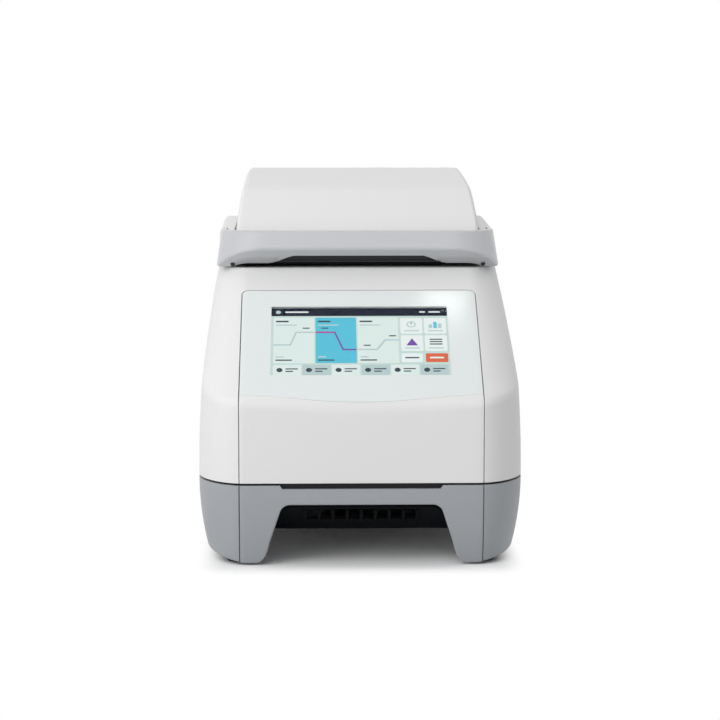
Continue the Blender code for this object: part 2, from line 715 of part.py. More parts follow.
    feet = (("front", FRONT_FOOT, FRONT_STEM_SHIFT, BASE_BOTTOM), ("rear", REAR_FOOT, 0.0, side_low))
    for end, (x, y), shift, high in feet:
        for side, sign in (("left", -1), ("right", 1)):
            rings = []
            for height, radius in ((0, 0.9), (0.001, 1.0), (high - FIT_GAP, 1.0)):
                outline = circle(sign * x, y, FOOT_RADIUS * radius, 12)
                rings.append([Vector((a, b, height)) for a, b in outline])
            for height in (high - FIT_GAP, high + PAD_HEIGHT - 0.0005):
                outline = circle(sign * (x - shift), y, FOOT_STEM_RADIUS, 12)
                rings.append([Vector((a, b, height)) for a, b in outline])
            finish(loft(f"foot_{end}_{side}", rings), paint["rubber"])


def make_body(paint):
    """The white body: housing with the deck, front cover, glass and screen."""
    low = SEAM_HEIGHT + SEAM_GAP / 2
    shell = upper_body("upper_housing", 0.0, low)
    glass = bpy.data.objects.new("display_glass", shell.data.copy())
    bpy.context.collection.objects.link(glass)
    cut(shell, upper_body("core", WALL, low - 0.002))
    panel = bpy.data.objects.new("front_panel", shell.data.copy())
    bpy.context.collection.objects.link(panel)

    cut(shell, panel_zone("zone", 0.0))
    cut(shell, slope_prism("zone", glass_outline(SEAM_GAP), -4 * WALL, 4 * WALL))
    frame_x = BLOCK_HALF_X + 0.017
    frame_y = BLOCK_HALF_Y + 0.015
    cut(shell, boxes("deck", [
        ((-frame_x, BLOCK_Y - frame_y, DECK_HEIGHT - 0.01),
         (frame_x, BLOCK_Y + frame_y, DECK_HEIGHT + 0.01)),
    ]))
    hook_x = lid_half(PIVOT_Z) - WALL - 0.0065
    for side in (-1, 1):
        near, far = sorted((side * (hook_x - 0.0018), side * (hook_x + HOOK_THICKNESS + 0.0018)))
        cut(shell, box("slot", (near, PIVOT_Y - 0.0245, DECK_HEIGHT - 0.01),
                       (far, PIVOT_Y + 0.0035, DECK_HEIGHT + 0.01)))
    opening = REAR_PANEL_HALF + FIT_GAP
    cut(shell, box("rear", (-opening, REAR - 0.02, SEAM_HEIGHT - 0.01),
                   (opening, REAR + 0.01, REAR_PANEL_TOP + FIT_GAP)))
    finish(shell, paint["white"])

    keep(panel, panel_zone("zone", SEAM_GAP))
    half = PANEL_HALF - SEAM_GAP
    deep = GLASS_THICKNESS + 0.0006
    outline = rounded(-half, 0.004, half, GLASS_END - 0.002, 0.0005, GLASS_CORNER + 0.002)
    frame = slope_prism("frame", outline, -deep - FRAME_THICKNESS, -deep)
    window = rectangle(-SCREEN_WIDTH / 2 - 0.001, SCREEN_START - 0.001,
                       SCREEN_WIDTH / 2 + 0.001, SCREEN_END + 0.001)
    cut(frame, slope_prism("window", window, -0.02, 0.01))
    join(panel, frame)
    finish(panel, paint["white"])

    cut(glass, upper_body("core", GLASS_THICKNESS, low - 0.002))
    keep(glass, slope_prism("zone", glass_outline(0.0), -4 * WALL, 4 * WALL))
    finish(glass, paint["glass"])

    back = -deep - FRAME_THICKNESS - FIT_GAP
    screen = rectangle(-SCREEN_WIDTH / 2, SCREEN_START, SCREEN_WIDTH / 2, SCREEN_END)
    case = rectangle(-SCREEN_WIDTH / 2 - 0.007, SCREEN_START - 0.006,
                     SCREEN_WIDTH / 2 + 0.007, SCREEN_END + 0.006)
    lcd = slope_prism("lcd_module", case, back - 0.0045, back)
    join(lcd, slope_prism("face", screen, back - 0.001, -GLASS_THICKNESS - FIT_GAP))
    finish(lcd, paint["screen"])
    board = slope_prism("display_board", rectangle(-SCREEN_WIDTH / 2, SCREEN_START - 0.002,
                                                   SCREEN_WIDTH / 2, SCREEN_END + 0.002),
                        back - 0.0045 - FIT_GAP - 0.0016, back - 0.0045 - FIT_GAP)
    finish(board, paint["circuit"])

    striker = box("striker_right", (hook_x - 0.004, PIVOT_Y + 0.005, DECK_HEIGHT - WALL - FIT_GAP - 0.0045),
                  (hook_x + HOOK_THICKNESS + 0.0035, PIVOT_Y + 0.0115, DECK_HEIGHT - WALL - FIT_GAP))
    finish(striker, paint["steel"])
    mirrored(striker, "striker_left")


def make_block(paint):
    """The sample block with its wells, the frame and seal round it, and what cools it."""
    columns = [(-BLOCK_HALF_X + BLOCK_MARGIN) + WELL_PITCH * step for step in range(WELL_COLUMNS + 1)]
    rows = [BLOCK_Y - BLOCK_HALF_Y + BLOCK_MARGIN + WELL_PITCH * step for step in range(WELL_ROWS + 1)]
    verts = [(x, y, BLOCK_TOP) for y in rows for x in columns]
    faces = []
    wide = WELL_COLUMNS + 1
    for row in range(WELL_ROWS):
        for column in range(WELL_COLUMNS):
            corner = [row * wide + column + 1, (row + 1) * wide + column + 1,
                      (row + 1) * wide + column, row * wide + column]
            x = (columns[column] + columns[column + 1]) / 2
            y = (rows[row] + rows[row + 1]) / 2
            first = len(verts)
            turn = -3 * math.pi / 8
            verts += [(a, b, BLOCK_TOP) for a, b in circle(x, y, WELL_RADIUS, WELL_SIDES, turn)]
            verts.append((x, y, BLOCK_TOP - WELL_DEPTH))
            for side in range(4):
                low = first + 2 * side
                following = first + (2 * side + 2) % WELL_SIDES
                faces.append((corner[side], low + 1, low))
                faces.append((corner[side], corner[(side + 1) % 4], following, low + 1))
            for side in range(WELL_SIDES):
                faces.append((first + side, first + (side + 1) % WELL_SIDES, first + WELL_SIDES))
    rim = [row * wide for row in range(WELL_ROWS, 0, -1)] + list(range(wide))
    rim += [row * wide + wide - 1 for row in range(1, WELL_ROWS + 1)]
    rim += [WELL_ROWS * wide + column for column in range(wide - 2, 0, -1)]
    edges = []
    for index in rim:
        x, y, z = verts[index]
        step_x = BLOCK_MARGIN * (1 if x > columns[-1] - 1e-6 else -1 if x < columns[0] + 1e-6 else 0)
        step_y = BLOCK_MARGIN * (1 if y > rows[-1] - 1e-6 else -1 if y < rows[0] + 1e-6 else 0)
        edges.append((x + step_x, y + step_y))
    top = len(verts)
    verts += [(x, y, BLOCK_TOP) for x, y in edges]
    base = len(verts)
    verts += [(x, y, BLOCK_BOTTOM) for x, y in edges]
    count = len(rim)
    for index in range(count):
        after = (index + 1) % count
        faces.append((rim[index], rim[after], top + after, top + index))
        faces.append((top + index, top + after, base + after, base + index))
    faces.append(tuple(range(base, base + count)))
    finish(solid("sample_block", verts, faces), paint["aluminium"])

    hole = (BLOCK_HALF_X + FIT_GAP, BLOCK_HALF_Y + FIT_GAP)
    collar = (BLOCK_HALF_X + 0.0165, BLOCK_HALF_Y + 0.0145)
    flange = (collar[0] + 0.0055, collar[1] + 0.0055)
    recess = (BLOCK_HALF_X + 0.007, BLOCK_HALF_Y + 0.005)
    flange_low = DECK_HEIGHT + FIT_GAP
    flange_top = flange_low + 0.0015

    def around(half):
        return rectangle(-half[0], BLOCK_Y - half[1], half[0], BLOCK_Y + half[1])

    frame = prism("block_frame", around(collar), "Z", DECK_HEIGHT - 0.011, flange_low + 0.0005)
    join(frame, prism("flange", around(flange), "Z", flange_low, flange_top))
    cut(frame, prism("hole", around(hole), "Z", 0, LID_TOP))
    cut(frame, prism("recess", around(recess), "Z", BLOCK_TOP - 0.0045, LID_TOP))
    finish(frame, paint["black"])

    outer = (flange[0] - 0.002, flange[1] - 0.002)
    inner = (outer[0] - 0.003, outer[1] - 0.003)
    seal = prism("lid_seal", around(outer), "Z", flange_top + FIT_GAP, FRAME_BOTTOM - FIT_GAP)
    cut(seal, prism("hole", around(inner), "Z", 0, LID_TOP))
    finish(seal, paint["rubber"])

    size_x = 2 * BLOCK_HALF_X / 3
    for row in range(2):
        for column in range(3):
            x = (column - 1) * size_x
            y = BLOCK_Y + (row - 0.5) * BLOCK_HALF_Y
            reach = (size_x / 2 - 0.0008, BLOCK_HALF_Y / 2 - 0.0008)
            cell = box(f"peltier_{row * 3 + column + 1}",
                       (x - reach[0], y - reach[1], PELTIER_TOP - PELTIER_THICKNESS),
                       (x + reach[0], y + reach[1], PELTIER_TOP))
            finish(cell, paint["ceramic"])

    low = SINK_TOP - SINK_BASE
    tip = low - SINK_FIN_HEIGHT
    comb = [(SINK_HALF_X, SINK_TOP), (-SINK_HALF_X, SINK_TOP)]
    pitch = (2 * SINK_HALF_X - SINK_FIN_THICKNESS) / (SINK_FINS - 1)
    for index in range(SINK_FINS):
        left = -SINK_HALF_X + index * pitch
        right = left + SINK_FIN_THICKNESS
        if index:
            comb.append((left, low))
        comb += [(left, tip), (right, tip)]
        if index < SINK_FINS - 1:
            comb.append((right, low))
    sink = prism("heat_sink", comb, "Y", BLOCK_Y - SINK_HALF_Y, BLOCK_Y + SINK_HALF_Y)
    finish(sink, paint["aluminium"])

    start = BLOCK_Y + SINK_HALF_Y + FIT_GAP
    end = FAN_BACK - FAN_DEPTH - FIT_GAP
    wide = FAN_X + FAN_SIZE / 2

    def duct(name, inset, extra):
        near = rectangle(-SINK_HALF_X - DUCT_WALL + inset, tip - DUCT_WALL + inset,
                         SINK_HALF_X + DUCT_WALL - inset, SINK_TOP - inset)
        far = rectangle(-wide + inset, FAN_Z - FAN_SIZE / 2 + inset,
                        wide - inset, FAN_Z + FAN_SIZE / 2 - inset)
        rings = [[Vector((x, y, z)) for x, z in ring] for y, ring in ((start, near), (end, far))]
        if extra:
            rings.insert(0, [point - Vector((0, extra, 0)) for point in rings[0]])
            rings.append([point + Vector((0, extra, 0)) for point in rings[-1]])
        return loft(name, rings)

    finish(cut(duct("air_duct", 0.0, 0.0), duct("bore", DUCT_WALL, 0.01)), paint["black"])


def make_fans(paint):
    """Two axial fans behind the rear panel."""
    front = FAN_BACK - FAN_DEPTH
    for side, sign in (("left", -1), ("right", 1)):
        x = sign * FAN_X
        frame = box(f"fan_frame_{side}", (x - FAN_SIZE / 2, front, FAN_Z - FAN_SIZE / 2),
                    (x + FAN_SIZE / 2, FAN_BACK, FAN_Z + FAN_SIZE / 2))
        cut(frame, prism("bore", circle(x, FAN_Z, FAN_BORE_RADIUS, 20), "Y", front - 0.01, FAN_BACK + 0.01))
        hub = prism("hub", circle(x, FAN_Z, FAN_HUB_RADIUS, 12), "Y", FAN_BACK - 0.003, FAN_BACK)
        reach = FAN_BORE_RADIUS + 0.001
        bar = box("bar", (x - reach, FAN_BACK - 0.0028, FAN_Z - 0.002),
                  (x + reach, FAN_BACK - 0.0004, FAN_Z + 0.002))
        post = box("post", (x - 0.002, FAN_BACK - 0.0026, FAN_Z - reach),
                   (x + 0.002, FAN_BACK - 0.0002, FAN_Z + reach))
        join(frame, join(hub, bar, post))
        finish(frame, paint["black"])

        rear = FAN_BACK - 0.0034
        rotor = prism(f"fan_rotor_{side}", circle(x, FAN_Z, FAN_HUB_RADIUS, 14), "Y", front + 0.002, rear)
        verts = []
        faces = []
        for blade in range(FAN_BLADES):
            angle = 2 * math.pi * blade / FAN_BLADES
            first = len(verts)
            for radius, pitch in ((FAN_HUB_RADIUS - 0.002, 48.0), (FAN_BORE_RADIUS - 0.0025, 28.0)):
                lean = math.radians(pitch)
                half = 0.0100 if pitch > 40 else 0.0095
                for along, thick in ((-half, -0.0006), (half, -0.0006), (half, 0.0006), (-half, 0.0006)):
                    tangent = along * math.cos(lean) - thick * math.sin(lean)
                    depth = along * math.sin(lean) + thick * math.cos(lean)
                    verts.append((
                        x + radius * math.cos(angle) - tangent * math.sin(angle),
                        (front + rear) / 2 + depth,
                        FAN_Z + radius * math.sin(angle) + tangent * math.cos(angle),
                    ))
            sides = ((0, 1, 2, 3), (4, 5, 6, 7), (0, 1, 5, 4), (1, 2, 6, 5), (2, 3, 7, 6), (3, 0, 4, 7))
            faces += [tuple(first + corner for corner in face) for face in sides]
        join(rotor, solid("blades", verts, faces))
        finish(rotor, paint["black"])
        hang(f"fan_{side}_axis", (x, FAN_BACK, FAN_Z), rotor)


def make_rear(paint):
    """The rear panel with its sockets, the power supply and the main board."""
    panel = box("rear_panel", (-REAR_PANEL_HALF, REAR - REAR_PANEL_THICKNESS, REAR_PANEL_BOTTOM),
                (REAR_PANEL_HALF, REAR, REAR_PANEL_TOP))
    slots = []
    for sign in (-1, 1):
        for step in range(-4, 5):
            height = step * 0.0082
            reach = math.sqrt((FAN_BORE_RADIUS - 0.001) ** 2 - height ** 2)
            for near, far in ((-reach, -0.002), (0.002, reach)):
                slots.append(((sign * FAN_X + near, REAR - 0.01, FAN_Z + height - 0.0025),
                              (sign * FAN_X + far, REAR + 0.01, FAN_Z + height + 0.0025)))
    inlet_low = Vector((INLET_LEFT, FAN_BACK - FAN_DEPTH, SWITCH_Z - 0.014))
    inlet_high = Vector((SWITCH_X + 0.012, REAR - 0.0002, SWITCH_Z + 0.014))
    net_low = Vector((0.022, REAR - 0.022, BOARD_BOTTOM + 0.0019))
    net_high = net_low + Vector((0.016, 0.0218, 0.0136))
    usb_low = Vector((0.054, REAR - 0.018, BOARD_BOTTOM + 0.0019))
    usb_high = usb_low + Vector((0.0145, 0.0178, 0.0162))
    grow = Vector((FIT_GAP, 0.02, FIT_GAP))
    for low, high in ((inlet_low, inlet_high), (net_low, net_high), (usb_low, usb_high)):
        slots.append((low - grow, high + grow))
    cut(panel, boxes("slots", slots))
    finish(panel, paint["panel"])

    inlet = box("power_inlet", inlet_low, inlet_high)
    mouth = Vector((INLET_LEFT + 0.007, REAR - 0.0165, SWITCH_Z - 0.009))
    mouth_high = Vector((INLET_LEFT + 0.032, REAR + 0.01, SWITCH_Z + 0.009))
    cut(inlet, box("mouth", mouth, mouth_high))
    middle = (mouth.x + mouth_high.x) / 2
    pins = []
    for x, z in ((-0.007, -0.002), (0.007, -0.002), (0.0, 0.002)):
        pins.append(box("pin", (middle + x - 0.001, mouth.y - 0.001, SWITCH_Z + z - 0.002),
                        (middle + x + 0.001, REAR - 0.006, SWITCH_Z + z + 0.002)))
    join(inlet, *pins)
    cut(inlet, box("well", (SWITCH_X - 0.007, REAR - 0.014, SWITCH_Z - 0.0118),
                   (SWITCH_X + 0.007, REAR + 0.01, SWITCH_Z + 0.0118)))
    finish(inlet, paint["black"])

    tilt = math.radians(SWITCH_TILT_DEG)
    profile = []
    for out, up in ((0.0032, 0.0), (0.0048, 0.0104), (-0.003, 0.009), (-0.003, -0.009), (0.0048, -0.0104)):
        profile.append((SWITCH_Y + out * math.cos(tilt) - up * math.sin(tilt),
                        SWITCH_Z + out * math.sin(tilt) + up * math.cos(tilt)))
    rocker = prism("switch_rocker", profile, "X", SWITCH_X - 0.0066, SWITCH_X + 0.0066)
    finish(rocker, paint["black"])
    hang("switch_axis", (SWITCH_X, SWITCH_Y, SWITCH_Z), rocker)

    supply_left = SUPPLY_FROM_SIDE - HALF
    supply = box("power_supply", (supply_left, BLOCK_Y + SUPPLY_FROM_BLOCK, PLATE_TOP + FIT_GAP),
                 (supply_left + SUPPLY_WIDTH, inlet_low.y - FIT_GAP, PLATE_TOP + SUPPLY_HEIGHT))
    finish(supply, paint["steel"])
    board = box("main_board", (BOARD_LEFT, BOARD_FRONT, BOARD_BOTTOM),
                (BOARD_RIGHT, BOARD_REAR, BOARD_BOTTOM + BOARD_THICKNESS))
    finish(board, paint["circuit"])

    port = box("network_port", net_low, net_high)
    cut(port, box("mouth", (net_low.x + 0.0018, REAR - 0.012, net_low.z + 0.003),
                  (net_high.x - 0.0018, REAR + 0.01, net_high.z - 0.0018)))
    finish(port, paint["steel"])
    usb = box("usb_port", usb_low, usb_high)
    for step in (0, 1):
        low = usb_low.z + 0.0014 + step * 0.0077
        cut(usb, box("mouth", (usb_low.x + 0.001, REAR - 0.012, low),
                     (usb_high.x - 0.001, REAR + 0.01, low + 0.0057)))
        join(usb, box("tongue", (usb_low.x + 0.002, REAR - 0.013, low + 0.003),
                      (usb_high.x - 0.002, REAR - 0.0025, low + 0.0048)))
    finish(usb, paint["steel"])


def make_hinge(paint):
    """The hinge shaft, the brackets on the deck and the counter springs."""
    reach = HINGE_ARM_X + 2 * HINGE_ARM_WIDTH + 0.0005
    shaft = prism("hinge_shaft", circle(HINGE_Y, HINGE_Z, SHAFT_RADIUS, 12), "X", -reach, reach)
    finish(shaft, paint["steel"])
    start = HINGE_ARM_X + HINGE_ARM_WIDTH + 0.0005
    profile = [(HINGE_Y - 0.009, DECK_HEIGHT + FIT_GAP), (HINGE_Y + 0.009, DECK_HEIGHT + FIT_GAP)]
    profile += arc(HINGE_Y, HINGE_Z, KNUCKLE_RADIUS, -10, 190, 8)
    bracket = prism("hinge_bracket_right", profile, "X", start, start + HINGE_ARM_WIDTH - 0.001)
    cut(bracket, prism("hole", circle(HINGE_Y, HINGE_Z, SHAFT_RADIUS + FIT_GAP, 12), "X", 0, 1))
    finish(bracket, paint["dark"])
    mirrored(bracket, "hinge_bracket_left")

    coil = SHAFT_RADIUS + 0.0005 + COUNTER_WIRE
    begin = HINGE_ARM_X - 0.008 - COUNTER_LENGTH
    points = []
    steps = COUNTER_TURNS * 8 + 4
    for step in range(steps + 1):
        angle = math.pi + 2 * math.pi * step / 8
        along = begin + COUNTER_LENGTH * step / steps
        points.append(Vector((along, HINGE_Y + coil * math.cos(angle), HINGE_Z + coil * math.sin(angle))))
    floor = DECK_HEIGHT + FIT_GAP + COUNTER_WIRE
    points.insert(0, points[0] + Vector((0, 0, floor - HINGE_Z)))
    points.append(points[-1] + Vector((0, 0, floor - HINGE_Z)))
    spring = wire("counter_spring_right", points, COUNTER_WIRE)
    finish(spring, paint["steel"])
    mirrored(spring, "counter_spring_left")


def make_lid(paint):
    """The lid with its frame, hinge arms and the sprung heated plate."""
    shell = lid_block("lid_shell", 0.0, LID_BOTTOM)
    cut(shell, lid_block("core", WALL, LID_BOTTOM - 0.01))
    cut(shell, prism("pivot", circle(PIVOT_Y, PIVOT_Z, PIN_RADIUS + FIT_GAP, 14), "X", -1, 1))
    bar_low = FRAME_TOP + FIT_GAP
    bar_high = bar_low + 0.0052
    ends = (HINGE_ARM_X, HINGE_ARM_X + HINGE_ARM_WIDTH)
    for side in (-1, 1):
        near, far = sorted((side * (ends[0] - FIT_GAP), side * (ends[1] + FIT_GAP)))
        cut(shell, box("notch", (near, LID_REAR - 0.02, LID_BOTTOM - 0.01),
                       (far, LID_REAR + 0.01, bar_high + FIT_GAP)))
    relief = (BAIL_GAP_HALF, FRAME_TOP + FIT_GAP)
    cut(shell, box("relief", (-relief[0], LID_FRONT - 0.01, LID_BOTTOM - 0.01),
                   (relief[0], LID_FRONT + WALL + 0.001, relief[1])))
    finish(shell, paint["white"])

    flange = rounded(-LID_HALF + 0.001, LID_FRONT + 0.002, LID_HALF - 0.001, LID_REAR - 0.001, 0.008, 0.006)
    inset = WALL + 0.0012
    half = lid_half(FRAME_TOP) - WALL - 0.0005
    inside = rounded(-half, LID_FRONT + inset, half, LID_REAR - inset + 0.0008, 0.008, 0.008)
    frame = prism("lid_frame", flange, "Z", FRAME_BOTTOM, LID_BOTTOM - FIT_GAP)
    join(frame, prism("upper", inside, "Z", FRAME_BOTTOM + 0.0005, FRAME_TOP))
    window = (BLOCK_HALF_X + 0.0055, BLOCK_HALF_Y + 0.0055)
    cut(frame, box("window", (-window[0], BLOCK_Y - window[1], 0), (window[0], BLOCK_Y + window[1], 1)))
    hook_x = lid_half(PIVOT_Z) - WALL - 0.0065
    for side in (-1, 1):
        near, far = sorted((side * (hook_x - 0.0015), side * (hook_x + HOOK_THICKNESS + 0.001)))
        cut(frame, box("slot", (near, PIVOT_Y - 0.016, 0), (far, PIVOT_Y + 0.014, 1)))
    finish(frame, paint["dark"])

    bar = rectangle(HINGE_Y - HINGE_ARM_LENGTH, bar_low, HINGE_Y, bar_high)
    arm = prism("lid_hinge_arm_right", bar, "X", *ends)
    join(arm, prism("ring", circle(HINGE_Y, HINGE_Z, KNUCKLE_RADIUS, 14), "X", *ends))
    cut(arm, prism("hole", circle(HINGE_Y, HINGE_Z, SHAFT_RADIUS + FIT_GAP, 12), "X", 0, 1))
    finish(arm, paint["dark"])
    twin = mirrored(arm, "lid_hinge_arm_left")

    reach = (window[0] - 0.0008, window[1] - 0.0008)
    plate = box("heated_plate", (-reach[0], BLOCK_Y - reach[1], PLATE_REST),
                (reach[0], BLOCK_Y + reach[1], PLATE_REST + HEATED_PLATE_THICKNESS))
    finish(plate, paint["aluminium"])
    mat = box("heater_mat", (-BLOCK_HALF_X, BLOCK_Y - BLOCK_HALF_Y, MAT_BOTTOM),
              (BLOCK_HALF_X, BLOCK_Y + BLOCK_HALF_Y, MAT_BOTTOM + MAT_THICKNESS))
    finish(mat, paint["mat"])

    springs = []
    for index, (x, y) in enumerate(((-1, -1), (1, -1), (-1, 1), (1, 1))):
        centre = Vector((x * BLOCK_HALF_X * 0.75, BLOCK_Y + y * BLOCK_HALF_Y * 0.65, SPRING_BOTTOM))
        points = []
        steps = SPRING_TURNS * 8
        for step in range(steps + 1):
            angle = 2 * math.pi * step / 8
            points.append(centre + Vector((SPRING_RADIUS * math.cos(angle), SPRING_RADIUS * math.sin(angle),
                                           SPRING_LENGTH * step / steps)))
        spring = wire(f"pressure_spring_{index + 1}", points, SPRING_WIRE)
        finish(spring, paint["steel"])
        springs.append(spring)

    wide = window[0] + 0.0065
    low = FRAME_TOP + FIT_GAP
    top = BRIDGE_BOTTOM + 0.002
    hat = [
        (-wide - 0.012, low), (-wide, low), (-wide, BRIDGE_BOTTOM), (wide, BRIDGE_BOTTOM), (wide, low),
        (wide + 0.012, low), (wide + 0.012, low + 0.002), (wide + 0.002, low + 0.002), (wide + 0.002, top),
        (-wide - 0.002, top), (-wide - 0.002, low + 0.002), (-wide - 0.012, low + 0.002),
    ]
    bridge = prism("spring_bridge", hat, "Y", BLOCK_Y - BLOCK_HALF_Y + 0.004,
                   BLOCK_Y + BLOCK_HALF_Y - 0.004)
    finish(bridge, paint["steel"])
    hang("lid_axis", (0, HINGE_Y, HINGE_Z), shell, frame, arm, twin, bridge, plate, mat, *springs)
    return hook_x


def bail_ring(height, half, front, radius, back):
    """Plan outline of the handle's front, closed across its back."""
    right = [(half, back)] + arc(half - radius, front + radius, radius, 0, -90, 6)
    outline = right + [(-x, y) for x, y in reversed(right)]
    return [Vector((x, y, height)) for x, y in outline]


def make_handle(paint, hook_x):
    """The silver bail, its white arms, the pivot pins and the latch hooks."""
    low = DECK_HEIGHT + 0.0006
    front = DECK_FRONT - BAIL_FRONT_OVERHANG
    back = LID_FRONT + BAIL_BACK - 0.010
    lean = BAIL_FRONT_DRAFT / (BAIL_TOP - low)
    rings = []
    levels = ((low, 0.0), (BAIL_TOP - 0.002, 0.0), (BAIL_TOP - 0.0006, 0.0006), (BAIL_TOP, 0.002))
    for height, inset in levels:
        share = (height - low) / (BAIL_TOP - low)
        ring_front = front + lean * (height - BAIL_EDGE_HEIGHT) + inset
        rings.append(bail_ring(height, BAIL_HALF - BAIL_DRAFT * share - inset, ring_front,
                               BAIL_CORNER - inset, back))
    bail = loft("handle_bail", rings)
    inner_front = LID_FRONT - BAIL_INNER_SETBACK
    inside = []
    for height in (low - 0.01, BAIL_TOP + 0.01):
        inside.append(bail_ring(height, BAIL_INNER, inner_front, BAIL_CORNER / 2, back + 0.01))
    cut(bail, loft("inside", inside))
    fall = math.tan(math.radians(BAIL_UNDERCUT_DEG))
    cut(bail, prism("undercut", [
        (front - 0.04, BAIL_EDGE_HEIGHT + 0.04 * fall), (front - 0.04, low - 0.02),
        (front + (BAIL_EDGE_HEIGHT - low + 0.02) / fall, low - 0.02),
    ], "X", -1, 1))
    lip = low + BAIL_LIP_HEIGHT
    pocket = BAIL_GAP_HALF - 0.017
    cut(bail, box("pocket", (-pocket, front + BAIL_LIP_DEPTH, low - 0.01), (pocket, LID_FRONT, lip + 0.004)))
    cut(bail, prism("gap", [
        (-BAIL_GAP_HALF, low - 0.01), (BAIL_GAP_HALF, low - 0.01), (BAIL_GAP_HALF - 0.0035, low + 0.001),
        (BAIL_GAP_HALF - 0.017, lip), (0.017 - BAIL_GAP_HALF, lip), (0.0035 - BAIL_GAP_HALF, low + 0.001),
    ], "Y", front - 0.02, LID_FRONT))
    finish(bail, paint["silver"])

    tip = LID_FRONT + 0.016
    profile = [(tip, low + 0.005), (PIVOT_Y, PIVOT_Z - ARM_END_RADIUS)]
    profile += arc(PIVOT_Y, PIVOT_Z, ARM_END_RADIUS, -75, 90, 8)
    profile += [(back, BAIL_TOP - 0.0003), (tip, BAIL_TOP - 0.003)]
    arm = prism("handle_arm_right", profile, "X", ARM_INNER, ARM_OUTER)
    cut(arm, box("step", (BAIL_INNER - FIT_GAP, tip - 0.01, 0), (ARM_OUTER + 0.01, back + FIT_GAP, 1)))
    cut(arm, prism("hole", circle(PIVOT_Y, PIVOT_Z, PIN_RADIUS + FIT_GAP, 14), "X", 0, 1))
    finish(arm, paint["white"])
    pin = prism("handle_pin_right", circle(PIVOT_Y, PIVOT_Z, PIN_RADIUS, 14), "X", hook_x - 0.0008,
                ARM_OUTER - 0.0015)
    finish(pin, paint["steel"])

    deck_under = DECK_HEIGHT - WALL - FIT_GAP - 0.0045
    hook = prism("latch_hook_right", [
        (PIVOT_Y - 0.0045, PIVOT_Z), (PIVOT_Y - 0.0045, deck_under - 0.0047),
        (PIVOT_Y + 0.011, deck_under - 0.0047), (PIVOT_Y + 0.011, deck_under - 0.0007),
        (PIVOT_Y + 0.0025, deck_under - 0.0007), (PIVOT_Y + 0.0025, PIVOT_Z),
    ], "X", hook_x, hook_x + HOOK_THICKNESS)
    hub = circle(PIVOT_Y, PIVOT_Z, PIN_RADIUS + 0.004, 14)
    join(hook, prism("hub", hub, "X", hook_x, hook_x + HOOK_THICKNESS))
    cut(hook, prism("hole", circle(PIVOT_Y, PIVOT_Z, PIN_RADIUS + FIT_GAP, 14), "X", 0, 1))
    finish(hook, paint["steel"])
    twins = [mirrored(item, item.name.replace("right", "left")) for item in (arm, pin, hook)]
    hang("handle_axis", (0, PIVOT_Y, PIVOT_Z), bail, arm, pin, hook, *twins)


def main():
    """Build every piece."""
    for item in list(bpy.data.objects):
        bpy.data.objects.remove(item, do_unlink=True)
    paint = {
        "white": material("white_plastic", (0.78, 0.78, 0.76), 0.45),
        "grey": material("grey_plastic", (0.30, 0.31, 0.32), 0.5),
        "silver": material("silver_paint", (0.52, 0.52, 0.52), 0.35, 0.4),
        "black": material("black_plastic", (0.02, 0.02, 0.022), 0.5),
        "dark": material("charcoal_plastic", (0.04, 0.042, 0.05), 0.5),
        "panel": material("panel_paint", (0.28, 0.29, 0.30), 0.5),
        "glass": material("pale_glass", (0.72, 0.78, 0.80), 0.1),
        "screen": material("screen", (0.05, 0.05, 0.07), 0.3),
        "circuit": material("circuit_board", (0.02, 0.16, 0.07), 0.5),
        "aluminium": material("aluminium", (0.75, 0.75, 0.76), 0.35, 1.0),
        "steel": material("steel", (0.55, 0.55, 0.56), 0.35, 1.0),
        "ceramic": material("ceramic", (0.85, 0.84, 0.80), 0.6),
        "rubber": material("rubber", (0.03, 0.03, 0.03), 0.8),
        "mat": material("heater_mat", (0.45, 0.16, 0.06), 0.6),
    }
    make_base(paint)
    make_body(paint)
    make_block(paint)
    make_fans(paint)
    make_rear(paint)
    make_hinge(paint)
    hook_x = make_lid(paint)
    make_handle(paint, hook_x)


main()
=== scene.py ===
"""Looks of a benchtop thermal cycler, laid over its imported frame.

Lengths are in metres. The front faces -Y and +Z is up, as in the frame.
"""

import json
import math

import bmesh
import bpy
import numpy as np
from mathutils import Matrix, Vector
from mathutils.geometry import delaunay_2d_cdt


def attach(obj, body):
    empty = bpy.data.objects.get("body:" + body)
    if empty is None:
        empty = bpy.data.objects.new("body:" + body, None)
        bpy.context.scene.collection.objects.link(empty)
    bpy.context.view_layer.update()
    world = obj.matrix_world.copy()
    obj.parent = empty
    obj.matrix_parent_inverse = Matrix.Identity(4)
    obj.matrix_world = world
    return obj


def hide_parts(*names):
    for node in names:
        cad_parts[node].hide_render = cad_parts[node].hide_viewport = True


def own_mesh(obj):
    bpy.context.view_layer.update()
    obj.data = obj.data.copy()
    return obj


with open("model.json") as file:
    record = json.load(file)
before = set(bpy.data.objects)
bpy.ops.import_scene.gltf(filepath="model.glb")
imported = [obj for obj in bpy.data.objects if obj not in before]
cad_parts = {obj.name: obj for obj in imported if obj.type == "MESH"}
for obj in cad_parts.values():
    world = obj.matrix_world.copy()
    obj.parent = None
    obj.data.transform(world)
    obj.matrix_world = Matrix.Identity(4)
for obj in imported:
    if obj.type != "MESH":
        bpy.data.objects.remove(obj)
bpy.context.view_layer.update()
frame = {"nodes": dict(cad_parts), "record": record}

# Body
FRONT, REAR, HALF = -0.215, 0.215, 0.1375
BASE_BOTTOM, SEAM, CREASE, DECK = 0.0014, 0.071, 0.140, 0.241
SIDE_TAKE_IN, BASE_TAKE_IN, BASE_LEAN, BASE_SIDE_LIFT = 0.0125, 0.0085, 0.012, 0.0076
FLAT = HALF - 0.039875
CORNER_DEPTH, CORNER_POWER = 0.054, 1.8
REAR_RADIUS, DECK_EDGE = 0.018, 0.0012
WALL, GAP = 0.003, 0.0008
SLOPE = math.radians(36.0)
